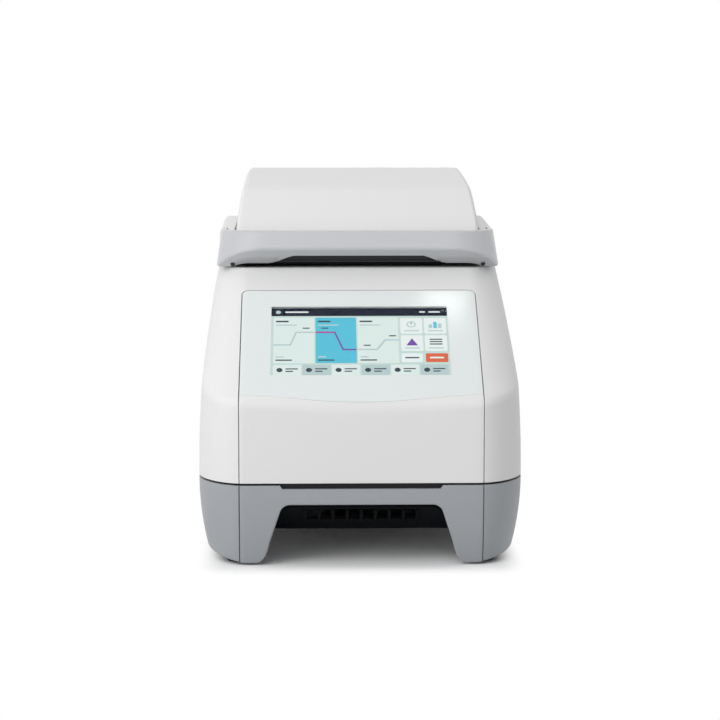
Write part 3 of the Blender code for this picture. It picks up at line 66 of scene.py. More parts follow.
CREASE_RADIUS, CREASE_MIDDLE, CREASE_SIDE, CREASE_RISE = 0.016, 0.022, 0.011, 0.009
PANEL_HALF = HALF - 0.035475
GLASS_START, GLASS_END, GLASS_CORNER, GLASS_THICK, GLASS_DIP = 0.0092, 0.1412, 0.006, 0.0022, 0.0105
SCREEN_HALF, SCREEN_START, SCREEN_END = 0.076, 0.0325, 0.1195
REAR_PANEL_HALF, REAR_PANEL_LOW, REAR_PANEL_TOP = 0.110, 0.029, 0.226

# Runs along half of the body's plan outline
CORNER_RUN, SIDE_RUN, REAR_RUN, BACK_RUN = 0.072, 0.358, 0.0283, 0.1195
HALF_ROUND = FLAT + CORNER_RUN + SIDE_RUN + REAR_RUN + BACK_RUN

# Front skirt
ARCH_TOP, ARCH_HALF_TOP, ARCH_HALF_FOOT, ARCH_RADIUS = 0.053, 0.0685, 0.088, 0.009
SLOT_HALF, SLOT_HEIGHT = 0.068, 0.0030
TUNNEL_END, TUNNEL_WALL = FRONT + 0.055, 0.0025
PLATE_BOTTOM, FOOT_TOP, REAR_FOOT_TOP = 0.0255, 0.004, 0.009

# Lid and handle
DECK_FRONT = FRONT + (DECK - CREASE) / math.tan(SLOPE)
LID_FRONT, LID_REAR = DECK_FRONT + 0.010, 0.186
LID_TOP, LID_BOTTOM, LID_HALF = 0.324, 0.247, 0.1093
LID_DRAFT, LID_EDGE = 0.0086, 0.0036
HINGE = Vector((0.0, 0.196, 0.2515))
HINGE_ARM = (0.063, 0.077)
PIVOT_Y, PIVOT_Z = LID_FRONT + 0.161, 0.262
BAIL_TOP, BAIL_LOW, BAIL_EDGE = 0.274, DECK + 0.0006, DECK + 0.0172
BAIL_HALF, BAIL_INNER, BAIL_CORNER = HALF - SIDE_TAKE_IN + 0.001, 0.1171, 0.040
BAIL_GAP_HALF = 0.076
ARM_INNER, ARM_OUTER, ARM_END = 0.1108, 0.1243, 0.0165
BAIL_FRONT, BAIL_BACK = DECK_FRONT - 0.0165, LID_FRONT + 0.046
BAIL_DRAFT, BAIL_FRONT_DRAFT = 0.0046, 0.0105
UNDERCUT = math.tan(math.radians(33.0))
PIN_RADIUS, FIT = 0.005, 0.0003

# Sample block and fans
BLOCK_Y, BLOCK_TOP, BLOCK_LOW = 0.018, 0.240, 0.219
BLOCK_HALF_X, BLOCK_HALF_Y, BLOCK_MARGIN = 0.058, 0.040, 0.004
WELL_PITCH, WELL_COLUMNS, WELL_ROWS = 0.009, 12, 8
FAN_X, FAN_Z, FAN_BACK = 0.043, 0.1746, 0.2122


class Link:
    """A node's output that takes part in Python sums."""

    def __init__(self, graph, socket):
        self.graph = graph
        self.socket = socket

    def sum(self, operation, *values):
        return self.graph.node("ShaderNodeMath", {"operation": operation}, dict(enumerate(values)))

    def __add__(self, other):
        return self.sum("ADD", self, other)

    def __sub__(self, other):
        return self.sum("SUBTRACT", self, other)

    def __rsub__(self, other):
        return self.sum("SUBTRACT", other, self)

    def __mul__(self, other):
        return self.sum("MULTIPLY", self, other)

    def __truediv__(self, other):
        return self.sum("DIVIDE", self, other)

    def __gt__(self, other):
        return self.sum("GREATER_THAN", self, other)

    def __lt__(self, other):
        return self.sum("LESS_THAN", self, other)

    def __abs__(self):
        return self.sum("ABSOLUTE", self)

    __radd__ = __add__
    __rmul__ = __mul__


class Graph:
    """A node tree that is filled by one method."""

    def __init__(self, tree):
        self.tree = tree

    def node(self, kind, settings=None, sockets=None, out=0):
        """Add a node, apply its settings, then set or link its sockets; give back one output."""
        made = self.tree.nodes.new(kind)
        for name, value in (settings or {}).items():
            if name == "stops":
                ramp = made.color_ramp
                while len(ramp.elements) < len(value):
                    ramp.elements.new(0.5)
                for stop, (position, colour) in zip(ramp.elements, value):
                    stop.position = position
                    stop.color = colour
            else:
                setattr(made, name, value)
        for name, value in (sockets or {}).items():
            if isinstance(value, Link):
                self.tree.links.new(value.socket, made.inputs[name])
            else:
                made.inputs[name].default_value = value
        return Link(self, made.outputs[out]) if made.outputs else made


def rgba(colour):
    """A colour with its alpha."""
    return (*colour, 1.0)


def scaled(colour, share):
    """A colour made lighter or darker."""
    return tuple(min(part * share, 1.0) for part in colour)


class Finish(Graph):
    """A material with one principled shader."""

    def __init__(self, name, **fixed):
        self.material = bpy.data.materials.new(name)
        self.material.use_nodes = True
        super().__init__(self.material.node_tree)
        self.shader = self.tree.nodes["Principled BSDF"]
        self.object = self.node("ShaderNodeTexCoord", out="Object")
        for socket, value in fixed.items():
            self.set(socket.replace("_", " "), value)

    def set(self, socket, value):
        """Set or link one of the shader's sockets."""
        if isinstance(value, Link):
            self.tree.links.new(value.socket, self.shader.inputs[socket])
        else:
            self.shader.inputs[socket].default_value = value
            if socket == "Base Color":
                self.material.diffuse_color = value

    def noise(self, scale, detail=2.0, stretch=None):
        """A noise from 0 to 1 on the piece's own coordinates, scale in cells a metre."""
        place = self.object
        if stretch:
            place = self.node("ShaderNodeMapping", {}, {"Vector": place, "Scale": stretch})
        return self.node("ShaderNodeTexNoise", {}, {"Vector": place, "Scale": scale, "Detail": detail})

    def between(self, share, low, high):
        """A colour between two others."""
        return self.node("ShaderNodeMix", {"data_type": "RGBA"},
                         {"Factor": share, 6: rgba(low), 7: rgba(high)}, out=2)

    def bump(self, height, depth, strength=1.0):
        """Feed the shader's normal from a height, depth in metres."""
        self.set("Normal", self.node("ShaderNodeBump", {}, {
            "Height": height, "Distance": depth, "Strength": strength}))


def moulded_plastic(name, colour, rough, depth=0.00005, mottle=0.02, **fixed):
    """Plastic from a spark-eroded mould: fine grain, faint flow shades and uneven gloss."""
    made = Finish(name, **fixed)
    grain = made.noise(1500.0, 3.0)
    flow = made.noise(7.0, 2.0)
    made.set("Base Color", made.between(flow, scaled(colour, 1 - mottle), scaled(colour, 1 + mottle)))
    made.set("Roughness", rough - 0.06 + grain * 0.08 + flow * 0.04)
    made.bump(grain, depth, 0.6)
    return made.material


def metal_flake(name, colour):
    """Silver paint with fine flakes under a thin clear coat."""
    made = Finish(name, Coat_Weight=0.25, Coat_Roughness=0.25)
    cells = made.node("ShaderNodeTexVoronoi", {"feature": "F1"}, {"Vector": made.object, "Scale": 2600.0}, out=1)
    spark = made.node("ShaderNodeSeparateColor", {}, {0: cells})
    drift = made.noise(9.0, 2.0)
    made.set("Base Color", made.between(spark * 0.3 + drift * 0.7, scaled(colour, 0.975), scaled(colour, 1.025)))
    made.set("Metallic", 0.22)
    made.set("Roughness", 0.285 + drift * 0.04)
    made.bump(made.noise(250.0, 1.0), 0.000006, 0.4)
    return made.material


def machined_metal(name, colour, rough, stretch=(1.0, 1.0, 1.0), scale=900.0, depth=0.00001):
    """Metal with fine tool marks along one direction."""
    made = Finish(name, Metallic=1.0)
    marks = made.noise(scale, 3.0, stretch)
    cloud = made.noise(25.0, 3.0)
    made.set("Base Color", made.between(cloud, scaled(colour, 0.93), scaled(colour, 1.04)))
    made.set("Roughness", rough - 0.08 + marks * 0.12 + cloud * 0.06)
    made.bump(marks, depth, 0.5)
    return made.material


def rubber_skin(name, colour):
    """Matt rubber with a dusty, slightly pitted skin."""
    made = Finish(name)
    pits = made.noise(1100.0, 4.0)
    dust = made.noise(40.0, 3.0)
    made.set("Base Color", made.between(dust * 0.5 + pits * 0.3, colour, scaled(colour, 2.2)))
    made.set("Roughness", 0.72 + pits * 0.18)
    made.bump(pits, 0.00006, 0.6)
    return made.material


def powder_coat(name, colour):
    """Sheet metal under a powder coat with a fine orange-peel skin."""
    made = Finish(name)
    peel = made.noise(700.0, 2.0)
    speck = made.noise(2400.0, 1.0)
    made.set("Base Color", made.between(speck, scaled(colour, 0.94), scaled(colour, 1.05)))
    made.set("Roughness", 0.42 + peel * 0.14)
    made.bump(peel, 0.00008, 0.7)
    return made.material


def painted_glass(name, colour):
    """Display glass painted pale on its back, glossy in front."""
    made = Finish(name, Coat_Weight=0.6, Coat_Roughness=0.1)
    haze = made.noise(11.0, 2.0)
    made.set("Base Color", made.between(haze, scaled(colour, 0.985), scaled(colour, 1.015)))
    made.set("Roughness", 0.10 + haze * 0.04)
    return made.material


def clear_glass(name):
    """The clear window over the screen."""
    made = Finish(name, Transmission_Weight=1.0, IOR=1.15, Base_Color=rgba((0.98, 0.99, 0.99)))
    smear = made.noise(14.0, 2.0)
    made.set("Roughness", 0.015 + smear * 0.02)
    return made.material


def lit_colour(name, colour, strength=0.85):
    """One colour of the lit screen, with its fine pixel rows."""
    made = Finish(name, Roughness=0.4, Specular_IOR_Level=0.0, Emission_Strength=strength)
    rows = made.noise(3000.0, 0.0, (1.0, 0.2, 0.2))
    made.set("Base Color", made.between(rows, scaled(colour, 0.05), scaled(colour, 0.07)))
    made.set("Emission Color", made.between(rows, scaled(colour, 0.97), scaled(colour, 1.03)))
    return made.material


def circuit_board(name):
    """Green solder mask over tracks, with bare pads."""
    made = Finish(name)
    tracks = made.node("ShaderNodeTexBrick", {"offset": 0.37}, {
        "Vector": made.object, "Scale": 260.0, "Mortar Size": 0.035, "Color1": rgba((0.0,) * 3),
        "Color2": rgba((0.1,) * 3), "Mortar": rgba((1.0,) * 3)})
    line = made.node("ShaderNodeSeparateColor", {}, {0: tracks})
    made.set("Base Color", made.between(line, (0.012, 0.11, 0.05), (0.03, 0.20, 0.09)))
    made.set("Roughness", 0.38 + line * 0.1)
    made.bump(line, 0.00004, 0.5)
    return made.material


def woven_mat(name):
    """Orange silicone heater mat with its glass cloth showing through."""
    made = Finish(name)
    axes = made.node("ShaderNodeSeparateXYZ", {}, {0: made.object})
    across = axes.sum("SINE", axes * 5200.0)
    axes_y = Link(made, axes.socket.node.outputs[1])
    along = axes_y.sum("SINE", axes_y * 5200.0)
    weave = across * along * 0.5 + 0.5
    made.set("Base Color", made.between(weave, (0.36, 0.10, 0.03), (0.50, 0.17, 0.06)))
    made.set("Roughness", 0.55 + weave * 0.15)
    made.bump(weave, 0.00005, 0.6)
    return made.material


PAINT = {
    "white_plastic": moulded_plastic("white_plastic_moulded", (0.800, 0.800, 0.792), 0.44),
    "grey_plastic": moulded_plastic("grey_plastic_moulded", (0.360, 0.377, 0.397), 0.48),
    "silver_paint": metal_flake("silver_handle_paint", (0.545, 0.556, 0.577)),
    "black_plastic": moulded_plastic("black_plastic_moulded", (0.012, 0.013, 0.015), 0.46),
    "charcoal_plastic": moulded_plastic("charcoal_plastic_moulded", (0.018, 0.020, 0.026), 0.5),
    "panel_paint": powder_coat("panel_powder_coat", (0.360, 0.377, 0.397)),
    "pale_glass": painted_glass("pale_back_painted_glass", (0.768, 0.815, 0.806)),
    "clear_glass": clear_glass("clear_window_glass"),
    "screen": moulded_plastic("screen_case", (0.03, 0.032, 0.04), 0.4),
    "circuit_board": circuit_board("green_circuit_board"),
    "aluminium": machined_metal("machined_aluminium", (0.78, 0.785, 0.80), 0.34),
    "steel": machined_metal("drawn_steel", (0.60, 0.60, 0.61), 0.32, (0.06, 1.0, 1.0)),
    "case_metal": machined_metal("pressed_case_metal", (0.66, 0.66, 0.67), 0.38),
    "ceramic": moulded_plastic("fired_ceramic", (0.80, 0.79, 0.74), 0.62),
    "rubber": rubber_skin("black_rubber", (0.014, 0.014, 0.015)),
    "heater_mat": woven_mat("woven_heater_mat"),
    # Black grille plastic, made darker than black_plastic and low in specular: partly its own black, partly painted
    # shade under the arch.
    "vent_black": moulded_plastic("vent_black_moulded", (0.004, 0.005, 0.006), 0.7, Specular_IOR_Level=0.05),
    # A near-black grey that paints the shade inside the front skirt's slot.
    "slot_grey": moulded_plastic("slot_grey_moulded", (0.022, 0.023, 0.025), 0.6, Specular_IOR_Level=0.2),
    "brass": machined_metal("plated_contacts", (0.72, 0.55, 0.28), 0.28),
}
SLOT_OF = {row["node"]: row["material_slot"] for row in frame["record"]["subparts"]}
BODY_OF = {node: body for body, nodes in frame["record"]["behaviour"]["bodies"].items() for node in nodes}


def evaluated(item):
    """Turn an object's modifiers into a plain mesh."""
    bpy.context.view_layer.update()
    graph = bpy.context.evaluated_depsgraph_get()
    shaped = bpy.data.meshes.new_from_object(item.evaluated_get(graph))
    item.modifiers.clear()
    item.data = shaped
    return item


def shaded(item, sharp_deg):
    """Smooth shading with sharp edges past an angle, led by the larger faces."""
    item.data.shade_smooth()
    item.data.set_sharp_from_angle(angle=math.radians(sharp_deg))
    step = item.modifiers.new("weigh", "WEIGHTED_NORMAL")
    step.keep_sharp = True
    return evaluated(item)


def piece(name, parts, paints, sharp_deg=44.0, weld=2e-5):
    """Make one object from lists of points and faces, welded, with its normals outward."""
    form = bmesh.new()
    for verts, faces, marks in parts:
        made = [form.verts.new(point) for point in verts]
        for index, face in enumerate(faces):
            corners = [made[corner] for corner in face]
            if len(set(corners)) < 3:
                continue
            new = form.faces.new(dict.fromkeys(corners))
            new.material_index = marks[index] if marks else 0
    bmesh.ops.remove_doubles(form, verts=form.verts, dist=weld)
    flat = [face for face in form.faces if face.calc_area() < 1e-14]
    bmesh.ops.delete(form, geom=flat, context="FACES_ONLY")
    triangles = [face for face in form.faces if len(face.verts) == 3]
    bmesh.ops.join_triangles(form, faces=triangles, cmp_materials=True,
                             angle_face_threshold=math.radians(12), angle_shape_threshold=math.radians(50))
    bmesh.ops.recalc_face_normals(form, faces=form.faces)
    mesh = bpy.data.meshes.new(name)
    form.to_mesh(mesh)
    form.free()
    item = bpy.data.objects.new(name, mesh)
    bpy.context.scene.collection.objects.link(item)
    for paint in paints:
        mesh.materials.append(PAINT.get(paint) or bpy.data.materials[paint])
    return shaded(item, sharp_deg)


def fit(item, body, slot, *nodes):
    """Let a piece ride on a body and stand for CAD nodes; the slot is not used."""
    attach(item, body)
    if nodes:
        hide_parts(*nodes)
    return item


def eased(item, width, segments=2, angle_deg=40.0):
    """Round an object's edges."""
    step = item.modifiers.new("ease", "BEVEL")
    step.width = width
    step.segments = segments
    step.limit_method = "ANGLE"
    step.angle_limit = math.radians(angle_deg)
    step.use_clamp_overlap = True
    return evaluated(item)


def dressed(node, width=0.0004, segments=2, sharp_deg=35.0, name=None):
    """A CAD solid with eased edges and a full finish."""
    form = bmesh.new()
    form.from_mesh(frame["nodes"][node].data)
    bmesh.ops.remove_doubles(form, verts=form.verts, dist=1e-6)
    bmesh.ops.dissolve_limit(form, angle_limit=math.radians(1.0), verts=form.verts, edges=form.edges)
    mesh = bpy.data.meshes.new(node)
    form.to_mesh(mesh)
    form.free()
    item = bpy.data.objects.new(name or node + "_finished", mesh)
    bpy.context.scene.collection.objects.link(item)
    mesh.materials.clear()
    mesh.materials.append(PAINT[SLOT_OF[node]])
    for face in mesh.polygons:
        face.material_index = 0
    if width:
        eased(item, width, segments)
    shaded(item, sharp_deg)
    return fit(item, BODY_OF[node], SLOT_OF[node], node)


def arc(first, second, radius, start, end, steps):
    """Points along an arc, with the angles in degrees."""
    angles = [math.radians(start + (end - start) * step / steps) for step in range(steps + 1)]
    return [(first + radius * math.cos(angle), second + radius * math.sin(angle)) for angle in angles]


def bend(start, control, end, steps):
    """Points along a quadratic curve, without its start."""
    points = []
    for step in range(1, steps + 1):
        part = step / steps
        points.append(tuple(
            (1 - part) ** 2 * start[i] + 2 * part * (1 - part) * control[i] + part ** 2 * end[i] for i in (0, 1)))
    return points


def resampled(points, step):
    """Split an outline's long edges; each point carries the rounding of the edge that follows it."""
    out = []
    for index, (a, b, radius) in enumerate(points):
        next_a, next_b, _ = points[(index + 1) % len(points)]
        count = max(1, math.ceil(math.hypot(next_a - a, next_b - b) / step))
        out += [(a + (next_a - a) * k / count, b + (next_b - b) * k / count, radius) for k in range(count)]
    return out


def inward(points):
    """For each corner of an outline, the step to its rounded inner line and the rounding there."""
    steps = []
    count = len(points)
    for index in range(count):
        before, here, after = points[index - 1], points[index], points[(index + 1) % count]
        first = Vector((here[0] - before[0], here[1] - before[1])).normalized()
        second = Vector((after[0] - here[0], after[1] - here[1])).normalized()
        left_first, left_second = Vector((-first.y, first.x)), Vector((-second.y, second.x))
        turn = left_first.x * left_second.y - left_first.y * left_second.x
        r_first, r_second = before[2], here[2]
        if not r_first and not r_second:
            steps.append((Vector((0, 0)), 0.0))
        elif abs(turn) < 0.15:
            both = [left * r for left, r in ((left_first, r_first), (left_second, r_second)) if r]
            steps.append((sum(both, Vector((0, 0))) / len(both), max(r_first, r_second)))
        else:
            x = (r_first * left_second.y - r_second * left_first.y) / turn
            y = (r_second * left_first.x - r_first * left_second.x) / turn
            steps.append((Vector((x, y)), max(r_first, r_second)))
    return steps


def inside_mask(spots, loops):
    """Which points lie inside an odd number of closed loops."""
    inside = np.zeros(len(spots), bool)
    for loop in loops:
        ring = np.asarray(loop)
        for (ax, ay), (bx, by) in zip(ring, np.roll(ring, -1, axis=0)):
            if ay != by:
                over = (spots[:, 1] < max(ay, by)) & (spots[:, 1] >= min(ay, by))
                cross = ax + (spots[:, 1] - ay) * (bx - ax) / (by - ay)
                inside ^= over & (spots[:, 0] < cross)
    return inside


def far_from(spots, loops, clear):
    """Which points keep a distance from every loop's edges."""
    far = np.ones(len(spots), bool)
    for loop in loops:
        ring = np.asarray(loop)
        for start, end in zip(ring, np.roll(ring, -1, axis=0)):
            run = end - start
            share = np.clip(((spots - start) @ run) / max(run @ run, 1e-18), 0, 1)
            far &= np.hypot(*(spots - start - share[:, None] * run).T) > clear
    return far


def unslivered(faces, places, flat=1e-7):
    """Fold each flat triangle, left by points on one line, into its neighbour over its longest edge."""
    faces = {index: tuple(face) for index, face in enumerate(faces)}
    owner = {(face[k - 1], face[k]): index for index, face in faces.items() for k in range(3)}

    def long_side(face):
        runs = [places[face[k]] - places[face[k - 1]] for k in range(3)]
        side = max(range(3), key=lambda k: runs[k] @ runs[k])
        area = abs(runs[0][0] * runs[1][1] - runs[0][1] * runs[1][0])
        return side if area <= flat * math.sqrt(runs[side] @ runs[side]) else None

    thin = [index for index, face in faces.items() if long_side(face) is not None]
    before = None
    while thin and len(thin) != before:
        before, waiting = len(thin), []
        for index in thin:
            face = faces[index]
            side = long_side(face)
            if side is None:
                continue
            first, second, middle = face[side - 1], face[side], face[(side + 1) % 3]
            other = owner.get((second, first))
            if other not in faces:
                del faces[index]
            elif long_side(faces[other]) is not None:
                waiting.append(index)
            else:
                far = next(corner for corner in faces[other] if corner not in (first, second))
                for place, new in ((other, (second, middle, far)), (index, (middle, first, far))):
                    faces[place] = new
                    owner.update({(new[k - 1], new[k]): place for k in range(3)})
        thin = waiting
    return list(faces.values())


def filled(loops, borders, spots, edges, lines, clear):
    """Triangles inside the first loops, on their points and on the grid lines' crossings within them.

    The crossings are added to the spots and given back too.
    """
    grid = np.array([(a, b) for a in lines[0] for b in lines[1]]).reshape(-1, 2)
    grid = grid[inside_mask(grid, loops[:borders]) & far_from(grid, loops, clear)]
    extra = [tuple(spot) for spot in grid]
    spots += extra
    found = delaunay_2d_cdt([Vector(spot) for spot in spots], edges, [], 0, 1e-9)
    origin = [source[0] for source in found[3]]
    places = np.array([tuple(spot) for spot in found[0]])
    triangles = unslivered(found[2], places)
    middles = np.array([places[list(face)].mean(axis=0) for face in triangles])
    kept = inside_mask(middles, loops[:borders])
    return [tuple(origin[corner] for corner in face) for face, keep in zip(triangles, kept) if keep], extra


def moulded(surface, outlines, lines, thick, step=0.003, clear=0.0012, zones=(), rim_steps=3):
    """A skin of even thickness over a surface, inside its outlines, with rounded rims.

    Each outline keeps the material on its left, and each of its points carries the rounding of the edge
    after it; an edge of no rounding is left open, to be welded to a neighbour.
    """
    verts, faces, marks = [], [], []

    def put(a, b, depth):
        point, normal = surface(a, b)
        verts.append(point - normal * depth)
        return len(verts) - 1

    spots, edges, tops, bottoms, loops = [], [], [], [], []
    for outline in outlines:
        points = resampled(outline, step)
        steps = inward(points)
        rings = [[] for _ in range(rim_steps + 3)]
        for (a, b, _), (shift, radius) in zip(points, steps):
            inner = (a + shift.x, b + shift.y)
            top = put(*inner, 0.0)
            low = put(*inner, thick)
            column = [top]
            for k in range(1, rim_steps + 1):
                angle = math.pi / 2 * (1 - k / rim_steps)
                share = 1 - math.cos(angle)
                spot = (a + shift.x * share, b + shift.y * share)
                column.append(put(*spot, radius * (1 - math.sin(angle))) if radius else top)
            column.append(put(a, b, thick) if radius else low)
            column.append(low)
            for ring, index in zip(rings, column):
                ring.append(index)
        count = len(points)
        first = len(spots)
        for index in range(count):
            after = (index + 1) % count
            spots.append((points[index][0] + steps[index][0].x, points[index][1] + steps[index][0].y))
            edges.append((first + index, first + after))
            tops.append(rings[0][index])
            bottoms.append(rings[-1][index])
            if points[index][2]:
                for upper, lower in zip(rings, rings[1:]):
                    faces.append((upper[index], lower[index], lower[after], upper[after]))
                    marks.append(0)
        loops.append(spots[first:])
    for zone in zones:
        first = len(spots)
        for a, b, _ in resampled([(a, b, 0) for a, b in zone], step):
            spots.append((a, b))
            tops.append(put(a, b, 0.0))
            bottoms.append(put(a, b, thick))
        edges += [(first + k, first + (k + 1) % (len(spots) - first)) for k in range(len(spots) - first)]
        loops.append(spots[first:])
    triangles, extra = filled(loops, len(outlines), spots, edges, lines, clear)
    for a, b in extra:
        tops.append(put(a, b, 0.0))
        bottoms.append(put(a, b, thick))
    middles = np.array([np.mean([spots[corner] for corner in face], axis=0) for face in triangles])
    zone_masks = [inside_mask(middles, [zone]) for zone in loops[len(outlines):]]
    for index, face in enumerate(triangles):
        mark = 1 if any(mask[index] for mask in zone_masks) else 0
        faces.append(tuple(tops[corner] for corner in face))
        faces.append(tuple(bottoms[corner] for corner in reversed(face)))
        marks += [mark, mark]
    return verts, faces, marks


def lofted(rings, caps=True):
    """Points and faces through rings of as many points each, closed at both ends."""
    count = len(rings[0])
    verts = [Vector(point) for ring in rings for point in ring]
    faces = []
    for low in range(0, len(verts) - count, count):
        for k in range(count):
            after = (k + 1) % count
            faces.append((low + k, low + after, low + count + after, low + count + k))
    if caps:
        faces += [tuple(range(count)), tuple(range(len(verts) - count, len(verts)))]
    return verts, faces, None


def strip(rows):
    """Points and faces through open rows of as many points each."""
    count = len(rows[0])
    faces = [(low + k, low + k + 1, low + count + k + 1, low + count + k)
             for low in range(0, count * (len(rows) - 1), count) for k in range(count - 1)]
    return [Vector(point) for row in rows for point in row], faces, None


def block(low, high, ease=0.0):
    """A box, with its upright edges cut off by an ease."""
    plan = rounded_box(low[0], low[1], high[0], high[1], ease, 2)
    return lofted([[(x, y, z) for x, y in plan] for z in (low[2], high[2])])


def rounded_box(left, low, right, top, radius, steps):
    """A rectangle with rounded corners, anticlockwise."""
    if not radius:
        return [(left, low), (right, low), (right, top), (left, top)]
    points = arc(right - radius, low + radius, radius, -90, 0, steps)
    points += arc(right - radius, top - radius, radius, 0, 90, steps)
    points += arc(left + radius, top - radius, radius, 90, 180, steps)
    return points + arc(left + radius, low + radius, radius, 180, 270, steps)


def turned(profile, centre, axis, sides=40):
    """A turned solid: (along, radius) stations on an axis from a centre."""
    axis = Vector(axis).normalized()
    side = axis.orthogonal().normalized()
    up = axis.cross(side)
    rings = []
    for along, radius in profile:
        angles = [2 * math.pi * k / sides for k in range(sides)]
        rings.append([Vector(centre) + axis * along + (side * math.cos(a) + up * math.sin(a)) * radius
                      for a in angles])
    return lofted(rings, caps=False)


def wound(points, radius, sides=8):
    """A closed wire along points."""
    rings = []
    lift = None
    for index, point in enumerate(points):
        run = (points[min(index + 1, len(points) - 1)] - points[max(index - 1, 0)]).normalized()
        lift = (run.orthogonal() if lift is None else lift - run * lift.dot(run)).normalized()
        across = run.cross(lift)
        angles = [2 * math.pi * k / sides for k in range(sides)]
        rings.append([point + (lift * math.cos(a) + across * math.sin(a)) * radius for a in angles])
    return lofted(rings)


class Pattern(Graph):
    """A geometry node tree that repeats a cell, with its sizes as named inputs."""

    def __init__(self, name, **inputs):
        super().__init__(bpy.data.node_groups.new(name, "GeometryNodeTree"))
        face = self.tree.interface
        face.new_socket("Geometry", in_out="OUTPUT", socket_type="NodeSocketGeometry")
        face.new_socket("Points", in_out="INPUT", socket_type="NodeSocketGeometry")
        self.keys = {}
        for label, kind in (("Cell", "Object"), ("Finish", "Material"), *inputs.items()):
            made = face.new_socket(label, in_out="INPUT", socket_type="NodeSocket" + kind)
            self.keys[label] = made.identifier
        start = self.tree.nodes.new("NodeGroupInput")
        self.given = {socket.name: Link(self, socket) for socket in start.outputs if socket.name}

    def close(self, points, turn):
        """Set the turned cell on each point, make it real, paint it and give it out."""
        cell = self.node("GeometryNodeObjectInfo", {}, {"Object": self.given["Cell"]}, out="Geometry")
        each = self.node("GeometryNodeInstanceOnPoints", {}, {"Points": points, "Instance": cell, "Rotation": turn})
        real = self.node("GeometryNodeRealizeInstances", {}, {"Geometry": each})
        painted = self.node("GeometryNodeSetMaterial", {}, {"Geometry": real, "Material": self.given["Finish"]})
        self.node("NodeGroupOutput", {}, {"Geometry": painted})
        return self

    def grown(self, cell, paint, place=Matrix(), spots=(), **values):
        """Points and faces of the repeated cell, moved to its place."""
        tile = piece("cell", [cell], [])
        mesh = bpy.data.meshes.new("spots")
        mesh.from_pydata([spot for spot, _ in spots], [], [])
        if spots:
            turns = mesh.attributes.new("turn", "FLOAT_VECTOR", "POINT")
            turns.data.foreach_set("vector", [part for _, turn in spots for part in turn])
        item = bpy.data.objects.new("spots", mesh)
        bpy.context.scene.collection.objects.link(item)
        step = item.modifiers.new("pattern", "NODES")
        step.node_group = self.tree
        for label, value in {"Cell": tile, "Finish": PAINT[paint], **values}.items():
            step[self.keys[label]] = value
        evaluated(item)
        verts = [place @ vert.co for vert in item.data.vertices]
        faces = [tuple(face.vertices) for face in item.data.polygons]
        bpy.data.objects.remove(item)
        bpy.data.objects.remove(tile)
        return verts, faces, None


def grid_pattern():
    """Cells in columns and rows about the origin."""
    made = Pattern("cells_in_rows", Columns="Int", Rows="Int", Pitch="Float")
    columns, rows, pitch = made.given["Columns"], made.given["Rows"], made.given["Pitch"]
    points = made.node("GeometryNodeMeshGrid", {}, {
        "Size X": (columns - 1) * pitch, "Size Y": (rows - 1) * pitch, "Vertices X": columns, "Vertices Y": rows})
    return made.close(points, (0.0, 0.0, 0.0))


def ring_pattern():
    """Cells turned evenly about the Z axis."""
    made = Pattern("cells_in_a_ring", Count="Int")
    count = made.given["Count"]
    points = made.node("GeometryNodeMeshLine", {}, {"Count": count, "Offset": (0.0, 0.0, 0.0)})
    angle = made.node("GeometryNodeInputIndex") * (2 * math.pi) / count
    return made.close(points, made.node("ShaderNodeCombineXYZ", {}, {"Z": angle}))


def spot_pattern():
    """Cells on given spots, each with its own turn."""
    made = Pattern("cells_on_spots")
    turn = made.node("GeometryNodeInputNamedAttribute", {"data_type": "FLOAT_VECTOR"}, {"Name": "turn"})
    return made.close(made.given["Points"], turn)


GRID, RING, SPOTS = grid_pattern(), ring_pattern(), spot_pattern()


def facing(place):
    """A surface with its outward normal, from a function that gives its points."""
    def surface(a, b):
        tiny = 1e-5
        across = place(a + tiny, b) - place(a - tiny, b)
        up = place(a, b + tiny) - place(a, b - tiny)
        return place(a, b), across.cross(up).normalized()
    return surface


def spread(*stops):
    """Grid lines: each stop is (start, end, count)."""
    lines = []
    for start, end, count in stops:
        lines += [start + (end - start) * k / count for k in range(count)]
    return lines + [stops[-1][1]]


def side_at(height):
    """Half width of the body at a height."""
    if height >= SEAM:
        return HALF - SIDE_TAKE_IN * ((height - SEAM) / (DECK - SEAM)) ** 2
    return HALF - BASE_TAKE_IN * ((SEAM - height) / (SEAM - BASE_BOTTOM)) ** 2


def base_front_at(height):
    """Front of the grey base at a height."""
    return FRONT + BASE_LEAN * ((SEAM - height) / (SEAM - BASE_BOTTOM)) ** 2


def around(run, half, front, drawn=0.0):
    """Plan point of the body at a run from its front middle, and how far its corner has turned."""
    side = -1.0 if run < 0 else 1.0
    run = min(abs(run), HALF_ROUND)
    depth, radius, rear = CORNER_DEPTH - drawn, REAR_RADIUS - drawn, REAR - drawn
    if run <= FLAT:
        return side * run, front, 0.0
    run -= FLAT
    if run <= CORNER_RUN:
        angle = math.pi / 2 * run / CORNER_RUN
        across = math.sin(angle) ** (2 / CORNER_POWER)
        back = max(math.cos(angle), 0.0) ** (2 / CORNER_POWER)
        return side * (FLAT + (half - FLAT) * across), front + depth * (1 - back), 1 - back
    run -= CORNER_RUN
    if run <= SIDE_RUN:
        start = front + depth
        return side * half, start + (rear - radius - start) * run / SIDE_RUN, 1.0
    run -= SIDE_RUN
    if run <= REAR_RUN:
        angle = math.pi / 2 * run / REAR_RUN
        x = half - radius + radius * math.cos(angle)
        return side * x, rear - radius + radius * math.sin(angle), 1.0
    share = min((run - REAR_RUN) / BACK_RUN, 1.0)
    return side * (half - radius) * (1 - share), rear, 1.0


